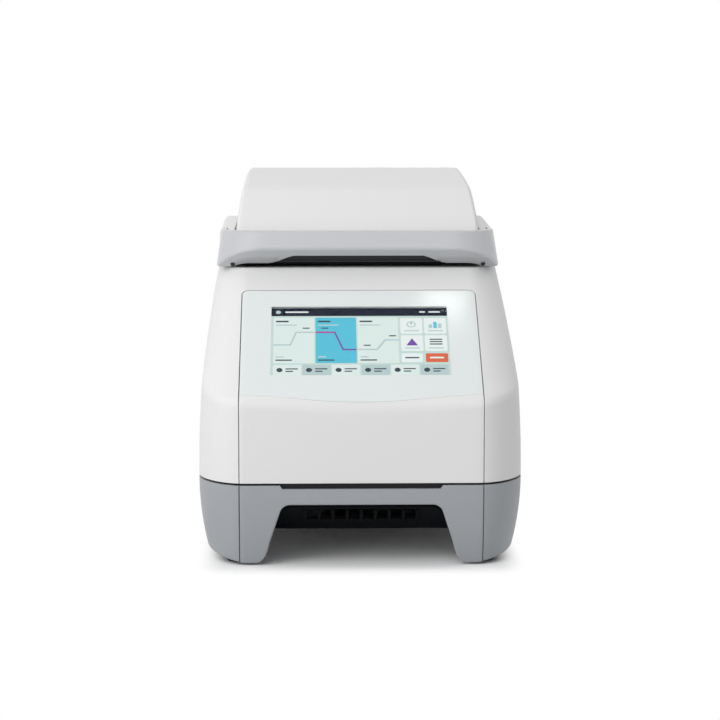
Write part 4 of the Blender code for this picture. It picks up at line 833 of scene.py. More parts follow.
UPPER_LOW = SEAM + GAP / 2 + 0.0002
ARC_TURN = math.pi / 2 - SLOPE
ARC_Z = CREASE - CREASE_RADIUS * math.tan(ARC_TURN / 2)
ARC_ALONG = CREASE_RADIUS * math.tan(ARC_TURN / 2)
RISE_FROM = (UPPER_LOW + ARC_Z) / 2
FACE_RUN = ARC_Z - UPPER_LOW
ARC_RUN = CREASE_RADIUS * ARC_TURN
SLOPE_LOW = ARC_Z + CREASE_RADIUS * math.sin(ARC_TURN)
SLOPE_TOP = DECK - DECK_EDGE
SLOPE_RUN = (SLOPE_TOP - SLOPE_LOW) / math.sin(SLOPE)
EDGE_RUN = 0.0018
UPPER_RUN = FACE_RUN + ARC_RUN + SLOPE_RUN + EDGE_RUN


def crease_radius(run):
    """Rounding of the crease below the display, widest at the middle of the front."""
    return CREASE_MIDDLE + (CREASE_SIDE - CREASE_MIDDLE) * min(abs(run) / PANEL_HALF, 1.0) ** 2


def upper_level(run, rise):
    """Front, height, corner lift and draw-in of the white body at a run round it and a rise up its front."""
    rise = min(max(rise, 0.0), UPPER_RUN)
    radius = crease_radius(run)
    foot = CREASE - radius * math.tan(ARC_TURN / 2)
    if rise <= FACE_RUN:
        height = UPPER_LOW + (foot - UPPER_LOW) * rise / FACE_RUN
        share = min(max((height - RISE_FROM) / (foot - RISE_FROM), 0.0), 1.0)
        return FRONT, height, CREASE_RISE * share, 0.0
    rise -= FACE_RUN
    if rise <= ARC_RUN:
        angle = ARC_TURN * rise / ARC_RUN
        return FRONT + radius * (1 - math.cos(angle)), foot + radius * math.sin(angle), CREASE_RISE, 0.0
    rise -= ARC_RUN
    low = foot + radius * math.sin(ARC_TURN)
    start = FRONT + radius * (1 - math.cos(ARC_TURN))
    if rise <= SLOPE_RUN:
        part = rise / SLOPE_RUN
        climb = (SLOPE_TOP - low) * part
        return start + climb / math.tan(SLOPE), low + climb, CREASE_RISE * (1 - part), 0.0
    part = math.sin(math.pi / 2 * (rise - SLOPE_RUN) / EDGE_RUN)
    drawn = DECK_EDGE * (1 - math.sqrt(max(1 - part ** 2, 0.0)))
    front = start + (SLOPE_TOP - low + DECK_EDGE * part) / math.tan(SLOPE) + drawn / 2
    return front, SLOPE_TOP + DECK_EDGE * part, 0.0, drawn


def upper_place(run, rise):
    """A point of the white body's skin."""
    front, height, lift, drawn = upper_level(run, rise)
    x, y, turned = around(run, side_at(height + lift) - drawn, front, drawn)
    return Vector((x, y, height + lift * turned))


def upper_skin(run, rise):
    """The white body's skin with its normal, level where it meets the deck."""
    if rise > UPPER_RUN - 1e-6:
        return upper_place(run, rise), Vector((0, 0, 1))
    return facing(upper_place)(run, rise)


def lower_place(run, height):
    """A point of the grey base's skin."""
    height = min(max(height, BASE_BOTTOM), SEAM)
    lift = BASE_SIDE_LIFT * (SEAM - height) / (SEAM - BASE_BOTTOM)
    x, y, turned = around(run, side_at(height + lift), base_front_at(height))
    return Vector((x, y, height + lift * turned ** 0.65))


lower_skin = facing(lower_place)


def unlifted(height):
    """Level of the base's skin that reaches a height past its raised corners."""
    share = BASE_SIDE_LIFT / (SEAM - BASE_BOTTOM)
    return (height - share * SEAM) / (1 - share)


def front_run(x, half):
    """Run along the plan outline to a point near the front."""
    if abs(x) <= FLAT:
        return x
    angle = math.asin(((abs(x) - FLAT) / (half - FLAT)) ** (CORNER_POWER / 2))
    return math.copysign(FLAT + CORNER_RUN * angle / (math.pi / 2), x)


def rear_run(x, half):
    """Run along the plan outline to a point on the flat rear."""
    share = 1 - x / (half - REAR_RADIUS)
    return HALF_ROUND - BACK_RUN + BACK_RUN * share


def on_rise(x, rise):
    """Run and rise of a point of the white front, given across it."""
    _, height, lift, _ = upper_level(x, rise)
    return front_run(x, side_at(height + lift)), rise


def on_front(x, along):
    """Run and rise of a point on the display slope, given across it and up it."""
    low = crease_radius(x) * (math.sin(ARC_TURN) - math.tan(ARC_TURN / 2))
    share = (along * math.sin(SLOPE) - low) / (SLOPE_TOP - CREASE - low)
    return on_rise(x, FACE_RUN + ARC_RUN + SLOPE_RUN * share)


def across_front(half, along):
    """A level line over the display slope, from right to left."""
    return [on_front(half * (1 - k / 8), along) for k in range(17)]


def glass_foot(below=0.0):
    """The display glass's lower edge from right to left, dipping toward the middle."""
    run, rise = on_front(PANEL_HALF - GAP / 2, GLASS_START)
    shares = [1 - k / 16 for k in range(33)]
    return [(run * share, rise - GLASS_DIP * (1 - share ** 2) - below) for share in shares]


UPPER_LINES = (
    spread((-HALF_ROUND, -HALF_ROUND + BACK_RUN, 8), (-HALF_ROUND + BACK_RUN, -FLAT - CORNER_RUN - SIDE_RUN, 8),
           (-FLAT - CORNER_RUN - SIDE_RUN, -FLAT - CORNER_RUN, 30), (-FLAT - CORNER_RUN, -FLAT, 28),
           (-FLAT, FLAT, 36), (FLAT, FLAT + CORNER_RUN, 28),
           (FLAT + CORNER_RUN, FLAT + CORNER_RUN + SIDE_RUN, 30),
           (FLAT + CORNER_RUN + SIDE_RUN, HALF_ROUND - BACK_RUN, 8), (HALF_ROUND - BACK_RUN, HALF_ROUND, 8)),
    spread((0.0, FACE_RUN, 10), (FACE_RUN, FACE_RUN + ARC_RUN, 10),
           (FACE_RUN + ARC_RUN, FACE_RUN + ARC_RUN + SLOPE_RUN, 22)),
)
LOWER_LINES = (UPPER_LINES[0], spread((BASE_BOTTOM, SEAM, 12)))
RIM = 0.0003


def make_upper_housing():
    """The white housing: sides, shoulder and deck in one skin."""
    reach = PANEL_HALF + GAP / 2
    radius = GLASS_CORNER + GAP
    top = GLASS_END + GAP
    side = [on_rise(reach, FACE_RUN * k / 12) for k in range(12)]
    side += [on_rise(reach, FACE_RUN + ARC_RUN * k / 6) for k in range(6)]
    side += [on_front(reach, ARC_ALONG + (top - radius - ARC_ALONG) * k / 20) for k in range(21)]
    side += [on_front(x, along) for x, along in arc(reach - radius, top - radius, radius, 0, 90, 8)[1:]]
    opening = [(-run, rise, RIM) for run, rise in side]
    opening += [(run, rise, RIM) for run, rise in reversed(across_front(reach - radius, top)[1:-1])]
    opening += [(run, rise, RIM) for run, rise in reversed(side)]

    low, high = 0.0, UPPER_RUN
    for _ in range(40):
        middle = (low + high) / 2
        _, height, lift, _ = upper_level(HALF_ROUND, middle)
        low, high = (middle, high) if height + lift < REAR_PANEL_TOP + 0.0003 else (low, middle)
    rear_rise = low
    rear = []
    for k in range(13):
        rise = rear_rise * k / 12
        _, height, lift, _ = upper_level(HALF_ROUND, rise)
        rear.append((rear_run(REAR_PANEL_HALF + 0.0003, side_at(height + lift)), rise))
    shoulder = UPPER_RUN - EDGE_RUN
    outline = opening
    outline += [(run, rise, RIM) for run, rise in rear]
    outline += [(HALF_ROUND, rear_rise, 0.0), (HALF_ROUND, shoulder, 0.0), (-HALF_ROUND, shoulder, 0.0),
                (-HALF_ROUND, rear_rise, RIM)]
    outline += [(-run, rise, RIM) for run, rise in reversed(rear)]
    band = moulded(upper_skin, [outline], UPPER_LINES, WALL)

    runs = [a for a, b, _ in resampled(outline, 0.003) if b > shoulder - 1e-9]
    edge = [[upper_skin(run, shoulder + EDGE_RUN * k / 5) for run in runs] for k in range(6)]
    outer = strip([[point for point, _ in row] for row in edge])
    inner = strip([[point - normal * WALL for point, normal in row] for row in reversed(edge)])
    rim = [(point.x, point.y, 0.0) for point, _ in edge[-1]]
    if sum(a[0] * b[1] - a[1] * b[0] for a, b in zip(rim, rim[1:] + rim[:1])) < 0:
        rim.reverse()
    holes = [rim]
    hook_x = lid_half(PIVOT_Z) - WALL - 0.0065
    frames = [(-0.075, BLOCK_Y - 0.055, 0.075, BLOCK_Y + 0.055)]
    for sign in (-1, 1):
        near, far = sorted((sign * (hook_x - 0.0018), sign * (hook_x + 0.0058)))
        frames.append((near, PIVOT_Y - 0.0245, far, PIVOT_Y + 0.0035))
    for left, bottom, right, top in frames:
        holes.append([(left, bottom, RIM), (left, top, RIM), (right, top, RIM), (right, bottom, RIM)])
    deck = moulded(lambda a, b: (Vector((a, b, DECK)), Vector((0, 0, 1))), holes,
                   (spread((-HALF, HALF, 18)), spread((DECK_FRONT, REAR, 20))), WALL, step=0.006, clear=0.003)
    made = piece("upper_housing_skin", [band, outer, inner, deck], ["white_plastic"])
    return fit(made, "base", "white_plastic", "upper_housing")


def make_front_panel():
    """The white cover below the display."""
    reach = PANEL_HALF - GAP / 2
    side = [on_rise(reach, FACE_RUN * k / 12) for k in range(12)]
    side += [on_rise(reach, FACE_RUN + ARC_RUN * k / 6) for k in range(7)]
    outline = [(run, rise, RIM) for run, rise in side]
    outline += [(run, rise, 0.00015) for run, rise in glass_foot(0.0001)]
    outline[-1] = (*outline[-1][:2], RIM)
    outline += [(-run, rise, RIM) for run, rise in reversed(side)]
    skin = moulded(upper_skin, [outline], UPPER_LINES, WALL)
    return fit(piece("front_panel_skin", [skin], ["white_plastic"]), "base", "white_plastic", "front_panel")


def make_glass():
    """The display glass: pale at its border and clear over the screen."""
    reach, radius = PANEL_HALF - GAP / 2, GLASS_CORNER
    rows = [GLASS_START + (GLASS_END - radius - GLASS_START) * k / 8 for k in range(1, 9)]
    side = [on_front(reach, along) for along in rows]
    side += [on_front(x, along) for x, along in arc(reach - radius, GLASS_END - radius, radius, 0, 90, 8)[1:]]
    outline = [(run, rise, 0.00015) for run, rise in reversed(glass_foot())]
    outline[-1] = (*outline[-1][:2], 0.0004)
    outline += [(run, rise, 0.0004) for run, rise in side]
    outline += [(run, rise, 0.0004) for run, rise in across_front(reach - radius, GLASS_END)[1:-1]]
    outline += [(-run, rise, 0.0004) for run, rise in reversed(side)]
    window = across_front(SCREEN_HALF, SCREEN_START)[::-1] + across_front(SCREEN_HALF, SCREEN_END)
    skin = moulded(upper_skin, [outline], UPPER_LINES, GLASS_THICK, zones=[window])
    made = piece("display_glass_sheet", [skin], ["pale_glass", "clear_glass"])
    return fit(made, "base", "pale_glass", "display_glass")


def arch_side(grow=0.0, foot=FOOT_TOP):
    """Right half of the air arch's outline, from its top to its foot."""
    points = arc(ARCH_HALF_TOP - ARCH_RADIUS, ARCH_TOP - ARCH_RADIUS, ARCH_RADIUS + grow, 90, 12, 10)
    spread_out = ARCH_HALF_FOOT - ARCH_HALF_TOP
    knee = (ARCH_HALF_TOP + 0.43 * spread_out + grow, 0.375 * ARCH_TOP)
    control = (ARCH_HALF_TOP + 0.60 * spread_out + grow, foot + 0.0005)
    return points + [knee] + bend(knee, control, (ARCH_HALF_FOOT + grow, foot), 8)


def make_lower_housing():
    """The grey cover round the sides and rear of the base."""
    top = SEAM - GAP / 2 - 0.0009
    reach = PANEL_HALF + GAP / 2
    heights = [BASE_BOTTOM + (top - BASE_BOTTOM) * k / 12 for k in range(13)]
    right = [(front_run(reach, side_at(z)), z) for z in heights]
    rear_x = REAR_PANEL_HALF + 0.0003
    rear_low = REAR_PANEL_LOW - 0.0003
    notch = [(rear_run(rear_x, side_at(z)), unlifted(z)) for z in (top, (top + rear_low) / 2, rear_low)]
    whole = 2 * HALF_ROUND

    def place(run, height):
        return lower_place(run if run <= HALF_ROUND else run - whole, height)

    outline = [(right[0][0], BASE_BOTTOM, 0.0022), (whole - right[0][0], BASE_BOTTOM, RIM)]
    outline += [(whole - run, z, RIM) for run, z in right[1:]]
    outline += [(whole - run, z, RIM) for run, z in notch]
    outline += [(run, z, RIM) for run, z in reversed(notch)]
    outline += [(run, z, RIM) for run, z in reversed(right[1:])]
    lines = [run for run in LOWER_LINES[0] if run > 0]
    lines = lines + [whole - run for run in reversed(lines[:-1])]
    skin = moulded(facing(place), [outline], (lines, LOWER_LINES[1]), WALL)
    made = piece("lower_housing_skin", [skin], ["grey_plastic"])
    return fit(made, "base", "grey_plastic", "lower_housing")


def make_front_skirt():
    """The grey front with its air arch, and the arch's lining."""
    top = SEAM - GAP / 2 - 0.0009
    reach = PANEL_HALF - GAP / 2
    heights = [BASE_BOTTOM + (top - BASE_BOTTOM) * k / 12 for k in range(13)]
    side = [(front_run(reach, side_at(z)), z) for z in heights]
    arch = arch_side(0.0, BASE_BOTTOM)
    outline = [(x, z, 0.0014) for x, z in reversed([(-x, z) for x, z in arch])]
    outline += [(x, z, 0.0014) for x, z in arch]
    arch = arch_side()
    outline += [(run, z, RIM) for run, z in side]
    slot = [(SLOT_HALF, top), (SLOT_HALF - 0.002, top - SLOT_HEIGHT)]
    outline += [(x, z, RIM) for x, z in slot] + [(-x, z, RIM) for x, z in reversed(slot)]
    outline += [(-run, z, RIM) for run, z in reversed(side[1:])] + [(-side[0][0], side[0][1], 0.0014)]
    skin = moulded(lower_skin, [outline], LOWER_LINES, WALL)

    verts, faces = [], []
    inner = [(-x, z) for x, z in reversed(arch)] + arch
    outer = [(-x, z) for x, z in reversed(arch_side(TUNNEL_WALL))] + arch_side(TUNNEL_WALL)
    count = len(inner)
    for line in (inner, outer):
        for share in (0.0, 0.25, 0.5, 0.75, 1.0):
            for x, z in line:
                start = base_front_at(z) + 0.0024
                verts.append(Vector((x, start + (TUNNEL_END - start) * share, z)))
    for k in range(count - 1):
        for row in (0, 1, 2, 3, 5, 6, 7, 8):
            low = row * count + k
            faces.append((low, low + 1, low + count + 1, low + count))
        for row in (0, 4):
            low, high = row * count + k, (row + 5) * count + k
            faces.append((low, low + 1, high + 1, high))
    for k in (0, count - 1):
        for row in range(4):
            faces.append(tuple((r * count + k) for r in (row, row + 1, row + 6, row + 5)))
    lining = (verts, faces, None)
    pads = []
    for sign in (-1, 1):
        near, far = sorted((sign * (ARCH_HALF_FOOT + 0.0005), sign * (reach - 0.0015)))
        pads.append(block((near, FRONT + BASE_LEAN + 0.0028, FOOT_TOP + 0.0006), (far, TUNNEL_END, 0.009)))
    made = piece("front_skirt_skin", [skin, lining, *pads], ["grey_plastic"])
    return fit(made, "base", "grey_plastic", "front_skirt")


def lid_half(height):
    """Half width of the lid at a height."""
    return LID_HALF - LID_DRAFT * ((height - LID_BOTTOM) / (LID_TOP - LID_BOTTOM)) ** 2


def lid_profile():
    """Side outline of the lid from the front bottom over the top to the rear bottom."""
    rise = LID_TOP - LID_BOTTOM
    crease = (LID_FRONT + 0.051, LID_TOP - 0.0150)
    points = [(LID_FRONT, LID_BOTTOM)]
    points += bend(points[0], (LID_FRONT + 0.002, LID_BOTTOM + 0.30 * rise),
                   (LID_FRONT + 0.022, LID_BOTTOM + 0.53 * rise), 12)
    points += bend(points[-1], (LID_FRONT + 0.0365, LID_BOTTOM + 0.675 * rise), crease, 10)
    ridge = (LID_FRONT + 0.175, LID_TOP)
    points += bend(crease, (LID_FRONT + 0.085, LID_TOP - 0.006), ridge, 18)
    points += bend(ridge, (LID_REAR - 0.004, LID_TOP), (LID_REAR - 0.002, LID_BOTTOM + 0.52 * rise), 24)
    points += [(LID_REAR, LID_BOTTOM + 0.30 * rise), (LID_REAR, LID_BOTTOM)]
    return points


def drawn_in(points, inset):
    """Move an open outline inwards, with its two ends kept on their height."""
    moved = []
    for index, point in enumerate(points):
        before = points[max(index - 1, 0)]
        after = points[min(index + 1, len(points) - 1)]
        run = Vector((after[0] - before[0], after[1] - before[1])).normalized()
        moved.append((point[0] + run.y * inset, point[1] - run.x * inset))
    moved[0] = (moved[0][0], points[0][1])
    moved[-1] = (moved[-1][0], points[-1][1])
    return moved


def lid_rows(inset):
    """Rows of points over the lid from its left side to its right, drawn in by an inset."""
    base = drawn_in(lid_profile(), inset) if inset else lid_profile()
    edge = LID_EDGE - inset
    rows = []
    for step in range(9):
        angle = math.pi / 2 * step / 8
        line = drawn_in(base, edge * (1 - math.cos(angle)))
        rows.append([Vector((lid_half(z) - inset - edge * (1 - math.sin(angle)), y, z)) for y, z in line])
    for share in (0.75, 0.5, 0.25, 0.0):
        rows.insert(0, [Vector(((lid_half(z) - inset - edge) * share, y, z)) for y, z in base])
    return [[Vector((-p.x, p.y, p.z)) for p in row] for row in reversed(rows[1:])] + rows


def lid_sides(row, inset):
    """The lid's two curved side faces inside the last row of its edge."""
    loop = [(point.y, point.z) for point in row]
    spots = list(loop)
    edges = [(k, (k + 1) % len(loop)) for k in range(len(loop))]
    lines = (spread((LID_FRONT, LID_REAR, 24)), spread((LID_BOTTOM, LID_TOP, 10)))
    triangles, _ = filled([loop], 1, spots, edges, lines, 0.003)
    return [([Vector((side * (lid_half(z) - inset), y, z)) for y, z in spots], triangles, None) for side in (-1, 1)]


def cut_away(item, *tools):
    """Take solids away from an object."""
    for tool in tools:
        other = piece("tool", [tool], [])
        step = item.modifiers.new("cut", "BOOLEAN")
        step.object = other
        step.solver = "EXACT"
        evaluated(item)
        bpy.data.objects.remove(other)
    return item


def make_lid_shell():
    """The white lid."""
    verts, faces, sides, rims = [], [], [], []
    for inset in (0.0, WALL):
        rows = lid_rows(inset)
        count = len(rows[0])
        first = len(verts)
        verts += [point for row in rows for point in row]
        for row in range(len(rows) - 1):
            for k in range(count - 1):
                low = first + row * count + k
                faces.append((low, low + 1, low + count + 1, low + count))
        sides += lid_sides(rows[-1], inset)
        rim = [first + row * count for row in range(len(rows))]
        rim += [first + row * count + count - 1 for row in reversed(range(len(rows)))]
        rims.append(rim)
    for k in range(len(rims[0])):
        after = (k + 1) % len(rims[0])
        faces.append((rims[0][k], rims[0][after], rims[1][after], rims[1][k]))
    made = piece("lid_shell_skin", [(verts, faces, None), *sides], ["white_plastic"], sharp_deg=40.0)
    relief = block((-BAIL_GAP_HALF, LID_FRONT - 0.01, LID_BOTTOM - 0.01),
                   (BAIL_GAP_HALF, LID_FRONT + WALL + 0.001, DECK + 0.0113))
    bores = [turned([(0, 0), (0, PIN_RADIUS + FIT), (0.03, PIN_RADIUS + FIT), (0.03, 0)],
                    (side * 0.09, PIVOT_Y, PIVOT_Z), (side, 0, 0)) for side in (-1, 1)]
    notches = []
    for side in (-1, 1):
        near, far = sorted((side * (HINGE_ARM[0] - FIT), side * (HINGE_ARM[1] + FIT)))
        notches.append(block((near, LID_REAR - 0.02, LID_BOTTOM - 0.01), (far, LID_REAR + 0.01, DECK + 0.0168)))
    shaded(cut_away(made, relief, *bores, *notches), 40.0)
    return fit(made, "lid", "white_plastic", "lid_shell")


def bail_outer(part, height):
    """Plan point of the handle's outer face: part runs from -1 at its left end to 1 at its right."""
    share = (height - BAIL_LOW) / (BAIL_TOP - BAIL_LOW)
    half = BAIL_HALF - BAIL_DRAFT * share
    front = BAIL_FRONT + BAIL_FRONT_DRAFT * (height - BAIL_EDGE) / (BAIL_TOP - BAIL_LOW)
    return bail_plan(part, half, front, BAIL_CORNER)


def bail_plan(part, half, front, radius):
    """Plan point on a U-shaped line at a share of its front, corner and side."""
    side = -1.0 if part < 0 else 1.0
    part = abs(part)
    if part <= 0.4:
        return Vector((side * (half - radius) * part / 0.4, front))
    if part <= 0.75:
        angle = math.pi / 2 * (part - 0.4) / 0.35
        return Vector((side * (half - radius + radius * math.sin(angle)), front + radius * (1 - math.cos(angle))))
    share = (part - 0.75) / 0.25
    return Vector((side * half, front + radius + (BAIL_BACK - front - radius) * share))


def undercut_at(y):
    """Height of the handle's slanted underside at a depth."""
    return BAIL_EDGE - (y - BAIL_FRONT) * UNDERCUT


def finger_height(x):
    """Lower limit of the handle: higher over the finger gap."""
    x = abs(x)
    lip = BAIL_LOW + 0.0106
    start, end = BAIL_GAP_HALF - 0.0125, BAIL_GAP_HALF + 0.0032
    if x <= start:
        return lip
    if x <= end:
        return lip + (BAIL_LOW + 0.001 - lip) * (x - start) / (end - start)
    return max(BAIL_LOW, BAIL_LOW + 0.001 * (1 - (x - end) / 0.0035))


def rounded_corner(before, corner, after, radius, steps):
    """Points round one corner of a section."""
    back, on = before - corner, after - corner
    reach = min(radius, 0.45 * back.length, 0.45 * on.length)
    if reach < 1e-6:
        return [corner] * (steps + 1)
    start, end = corner + back.normalized() * reach, corner + on.normalized() * reach
    points = []
    for k in range(steps + 1):
        part = k / steps
        points.append(start * (1 - part) ** 2 + corner * (2 * part * (1 - part)) + end * part ** 2)
    return points


def bail_section(part):
    """One section of the handle, as points round it."""
    inner = bail_plan(part, BAIL_INNER, LID_FRONT - 0.0055, BAIL_CORNER / 2)
    edge = BAIL_EDGE
    for _ in range(12):
        edge = max(undercut_at(bail_outer(part, edge).y), finger_height(bail_outer(part, edge).x))
    outer = bail_outer(part, edge)
    wide = (inner - outer).length
    low = finger_height(inner.x)
    inner_low = max(low, undercut_at(inner.y))
    drop = undercut_at(outer.y) - undercut_at(inner.y)
    share = (undercut_at(outer.y) - low) / drop if drop > 1e-6 else 0.0
    if share * wide < 0.002 or share > 0.92:
        share = 0.5
        middle = Vector((share * wide, (edge + inner_low) / 2))
    else:
        middle = Vector((share * wide, low))
    corners = [Vector((0, edge)), Vector((0, BAIL_TOP)), Vector((wide, BAIL_TOP)), Vector((wide, inner_low)), middle]
    radii = (0.0026 + 0.0020 * max(abs(part) - 0.5, 0.0) / 0.5, 0.0022, 0.0016, 0.0010, 0.0008)
    section = []
    for k, (corner, radius) in enumerate(zip(corners, radii)):
        section += rounded_corner(corners[k - 1], corner, corners[(k + 1) % 5], radius, 4)
    points = []
    for across, height in section:
        plan = bail_outer(part, height).lerp(inner, across / wide)
        points.append(Vector((plan.x, plan.y, height)))
    return points


def make_handle_bail():
    """The silver handle."""
    parts = spread((0.0, 0.4, 22), (0.4, 0.75, 22), (0.75, 1.0, 8))
    extra = [0.4 * x / (BAIL_HALF - BAIL_CORNER) for x in (0.0633, 0.0637, 0.0790, 0.0794, 0.0828)]
    parts = sorted(parts + extra)
    parts = [-part for part in reversed(parts[1:])] + parts
    rings = [bail_section(part) for part in parts]
    made = piece("handle_bail_skin", [lofted(rings)], ["silver_paint"], sharp_deg=38.0, weld=1e-6)
    fit(made, "handle", "silver_paint", "handle_bail")
    dome = [(-0.001, 0), (-0.001, 0.0021), (0.0004, 0.0021), (0.0011, 0.0019), (0.0017, 0.0014), (0.0020, 0.0007),
            (0.0021, 0)]
    buffers = [turned(dome, (side * 0.111, -0.0712, undercut_at(-0.0712)), (0, -UNDERCUT, -1), 24) for side in (-1, 1)]
    fit(piece("handle_buffers_moulded", buffers, ["rubber"], sharp_deg=60.0), "handle", "rubber")


def make_handle_arms():
    """The white arms that carry the handle, with their outer edges rounded, and their pivot pins."""
    tip = LID_FRONT + 0.016
    line = [(tip, BAIL_LOW + 0.005), (PIVOT_Y, PIVOT_Z - ARM_END)]
    line += arc(PIVOT_Y, PIVOT_Z, ARM_END, -75, 90, 20)
    line += [(BAIL_BACK, BAIL_TOP - FIT), (tip, BAIL_TOP - 0.003)]
    steps = [shift for shift, _ in inward(resampled([(y, z, 0.001) for y, z in line], 0.006))]
    line = [Vector(point[:2]) for point in resampled([(y, z, 0.0) for y, z in line], 0.006)]
    edge = 0.0052
    stations = [(ARM_INNER, 0.0006), (ARM_INNER + 0.0006, 0.0)]
    for k in range(9):
        angle = math.pi / 2 * k / 8
        stations.append((ARM_OUTER - edge * (1 - math.sin(angle)), edge * (1 - math.cos(angle))))
    for side, name in ((-1, "left"), (1, "right")):
        rings = []
        for x, inset in stations:
            ring = [spot + shift * (inset / 0.001) for spot, shift in zip(line, steps)]
            rings.append([(side * x, y, z) for y, z in ring])
        made = piece(f"handle_arm_{name}_skin", [lofted(rings)], ["white_plastic"], sharp_deg=40.0)
        near, far = sorted((side * (BAIL_INNER - FIT), side * (ARM_OUTER + 0.01)))
        bore = turned([(0, 0), (0, PIN_RADIUS + FIT), (0.04, PIN_RADIUS + FIT), (0.04, 0)],
                      (side * 0.1, PIVOT_Y, PIVOT_Z), (side, 0, 0))
        cut_away(made, block((near, tip - 0.01, 0.2), (far, BAIL_BACK + FIT, 0.3)), bore)
        fit(shaded(made, 40.0), "handle", "white_plastic", f"handle_arm_{name}")
        start, end = lid_half(PIVOT_Z) - WALL - 0.0073, ARM_OUTER - 0.0015
        pin = [(0, 0), (0, 0.0044), (0.0006, PIN_RADIUS), (end - start - 0.0008, PIN_RADIUS),
               (end - start, 0.0042), (end - start - 0.0004, 0.0036), (end - start - 0.0004, 0.0012),
               (end - start - 0.0014, 0)]
        pin = turned(pin, (side * start, PIVOT_Y, PIVOT_Z), (side, 0, 0))
        fit(piece(f"handle_pin_{name}_turned", [pin], ["steel"]), "handle", "steel", f"handle_pin_{name}")


def place_camera():
    """A camera at the photograph's viewing angle."""
    spot = Vector((-0.041, -2.015, 0.385))
    aim = Vector((0.0220, 1.0, -0.1167))
    data = bpy.data.cameras.new("camera")
    data.sensor_width = 36.0
    data.lens = 109.7
    camera = bpy.data.objects.new("camera", data)
    camera.location = spot
    camera.rotation_euler = aim.to_track_quat("-Z", "Y").to_euler()
    bpy.context.scene.collection.objects.link(camera)
    bpy.context.scene.camera = camera


def area_light(name, place, target, size, watts, mirrored=False):
    """A soft lamp, left out of reflections unless it is to be mirrored."""
    data = bpy.data.lights.new(name, "AREA")
    data.shape = "RECTANGLE"
    data.size, data.size_y = size
    data.energy = watts
    lamp = bpy.data.objects.new(name, data)
    lamp.location = place
    lamp.visible_glossy = mirrored
    lamp.rotation_euler = (Vector(target) - Vector(place)).to_track_quat("-Z", "Y").to_euler()
    bpy.context.scene.collection.objects.link(lamp)


def background_rays(graph):
    """One for rays that see the background: straight, mirrored or through glass."""
    seen = graph.node("ShaderNodeLightPath", out="Is Camera Ray")
    path = seen.socket.node
    for name in ("Is Glossy Ray", "Is Transmission Ray"):
        seen = seen.sum("MAXIMUM", seen, Link(graph, path.outputs[name]))
    return seen


def light_studio():
    """A white studio: a pale floor, a plain white surround and soft lamps."""
    bpy.context.scene.view_settings.view_transform = "Standard"
    world = bpy.data.worlds.new("studio")
    bpy.context.scene.world = world
    world.use_nodes = True
    graph = Graph(world.node_tree)
    world.node_tree.nodes.clear()
    plain = background_rays(graph)
    white = graph.node("ShaderNodeBackground", {}, {"Color": rgba((1.0,) * 3), "Strength": 1.0})
    fill = graph.node("ShaderNodeBackground", {}, {"Color": rgba((0.985, 0.995, 1.0)), "Strength": 0.48})
    mixed = graph.node("ShaderNodeMixShader", {}, {0: plain, 1: fill, 2: white})
    graph.node("ShaderNodeOutputWorld", {}, {"Surface": mixed})

    paint = Finish("studio_floor", Roughness=0.9, Base_Color=rgba((0.72,) * 3))
    seen = background_rays(paint)
    pale = paint.node("ShaderNodeBsdfDiffuse", {}, {"Color": rgba((0.98,) * 3)})
    near = paint.node("ShaderNodeMixShader", {}, {0: seen, 1: Link(paint, paint.shader.outputs[0]), 2: pale})
    across = paint.node("ShaderNodeSeparateXYZ", {}, {0: paint.object})
    along = Link(paint, across.socket.node.outputs[1])
    beside, before = (abs(across) - 0.112) * 1.7, abs(along) - 0.199
    beside, before = (part.sum("MAXIMUM", part, 0.0) for part in (beside, before))
    far = beside * beside + before * before
    far = far.sum("SQRT", far)
    fade = paint.node("ShaderNodeMapRange", {"interpolation_type": "SMOOTHSTEP"}, {
        "Value": far, "From Min": 0.0, "From Max": 0.048})
    glow = paint.node("ShaderNodeEmission", {}, {"Color": rgba((1.0,) * 3), "Strength": 1.0})
    mixed = paint.node("ShaderNodeMixShader", {}, {0: fade * seen, 1: near, 2: glow})
    paint.tree.links.new(mixed.socket, paint.tree.nodes["Material Output"].inputs["Surface"])
    bpy.ops.mesh.primitive_plane_add(size=12.0)
    floor = bpy.context.object
    floor.name = "studio_floor"
    floor.data.materials.append(paint.material)
    area_light("key", (-0.62, -1.62, 1.72), (0, 0, 0.15), (1.6, 1.4), 14.0)
    area_light("top", (0.0, 0.30, 2.40), (0, 0, 0.15), (1.8, 1.8), 3.8)
    area_light("left", (-1.80, -1.39, 1.05), (0, 0, 0.15), (1.8, 1.5), 18.9)
    area_light("glare", (0.166, 0.224, 1.67), (0.075, -0.11, 0.215), (0.06, 0.03), 0.05, mirrored=True)


def on_slope(x, along, out):
    """A point over the display slope: across, up it and out of it."""
    return Vector((x, FRONT + along * math.cos(SLOPE) - out * math.sin(SLOPE),
                   CREASE + along * math.sin(SLOPE) + out * math.cos(SLOPE)))


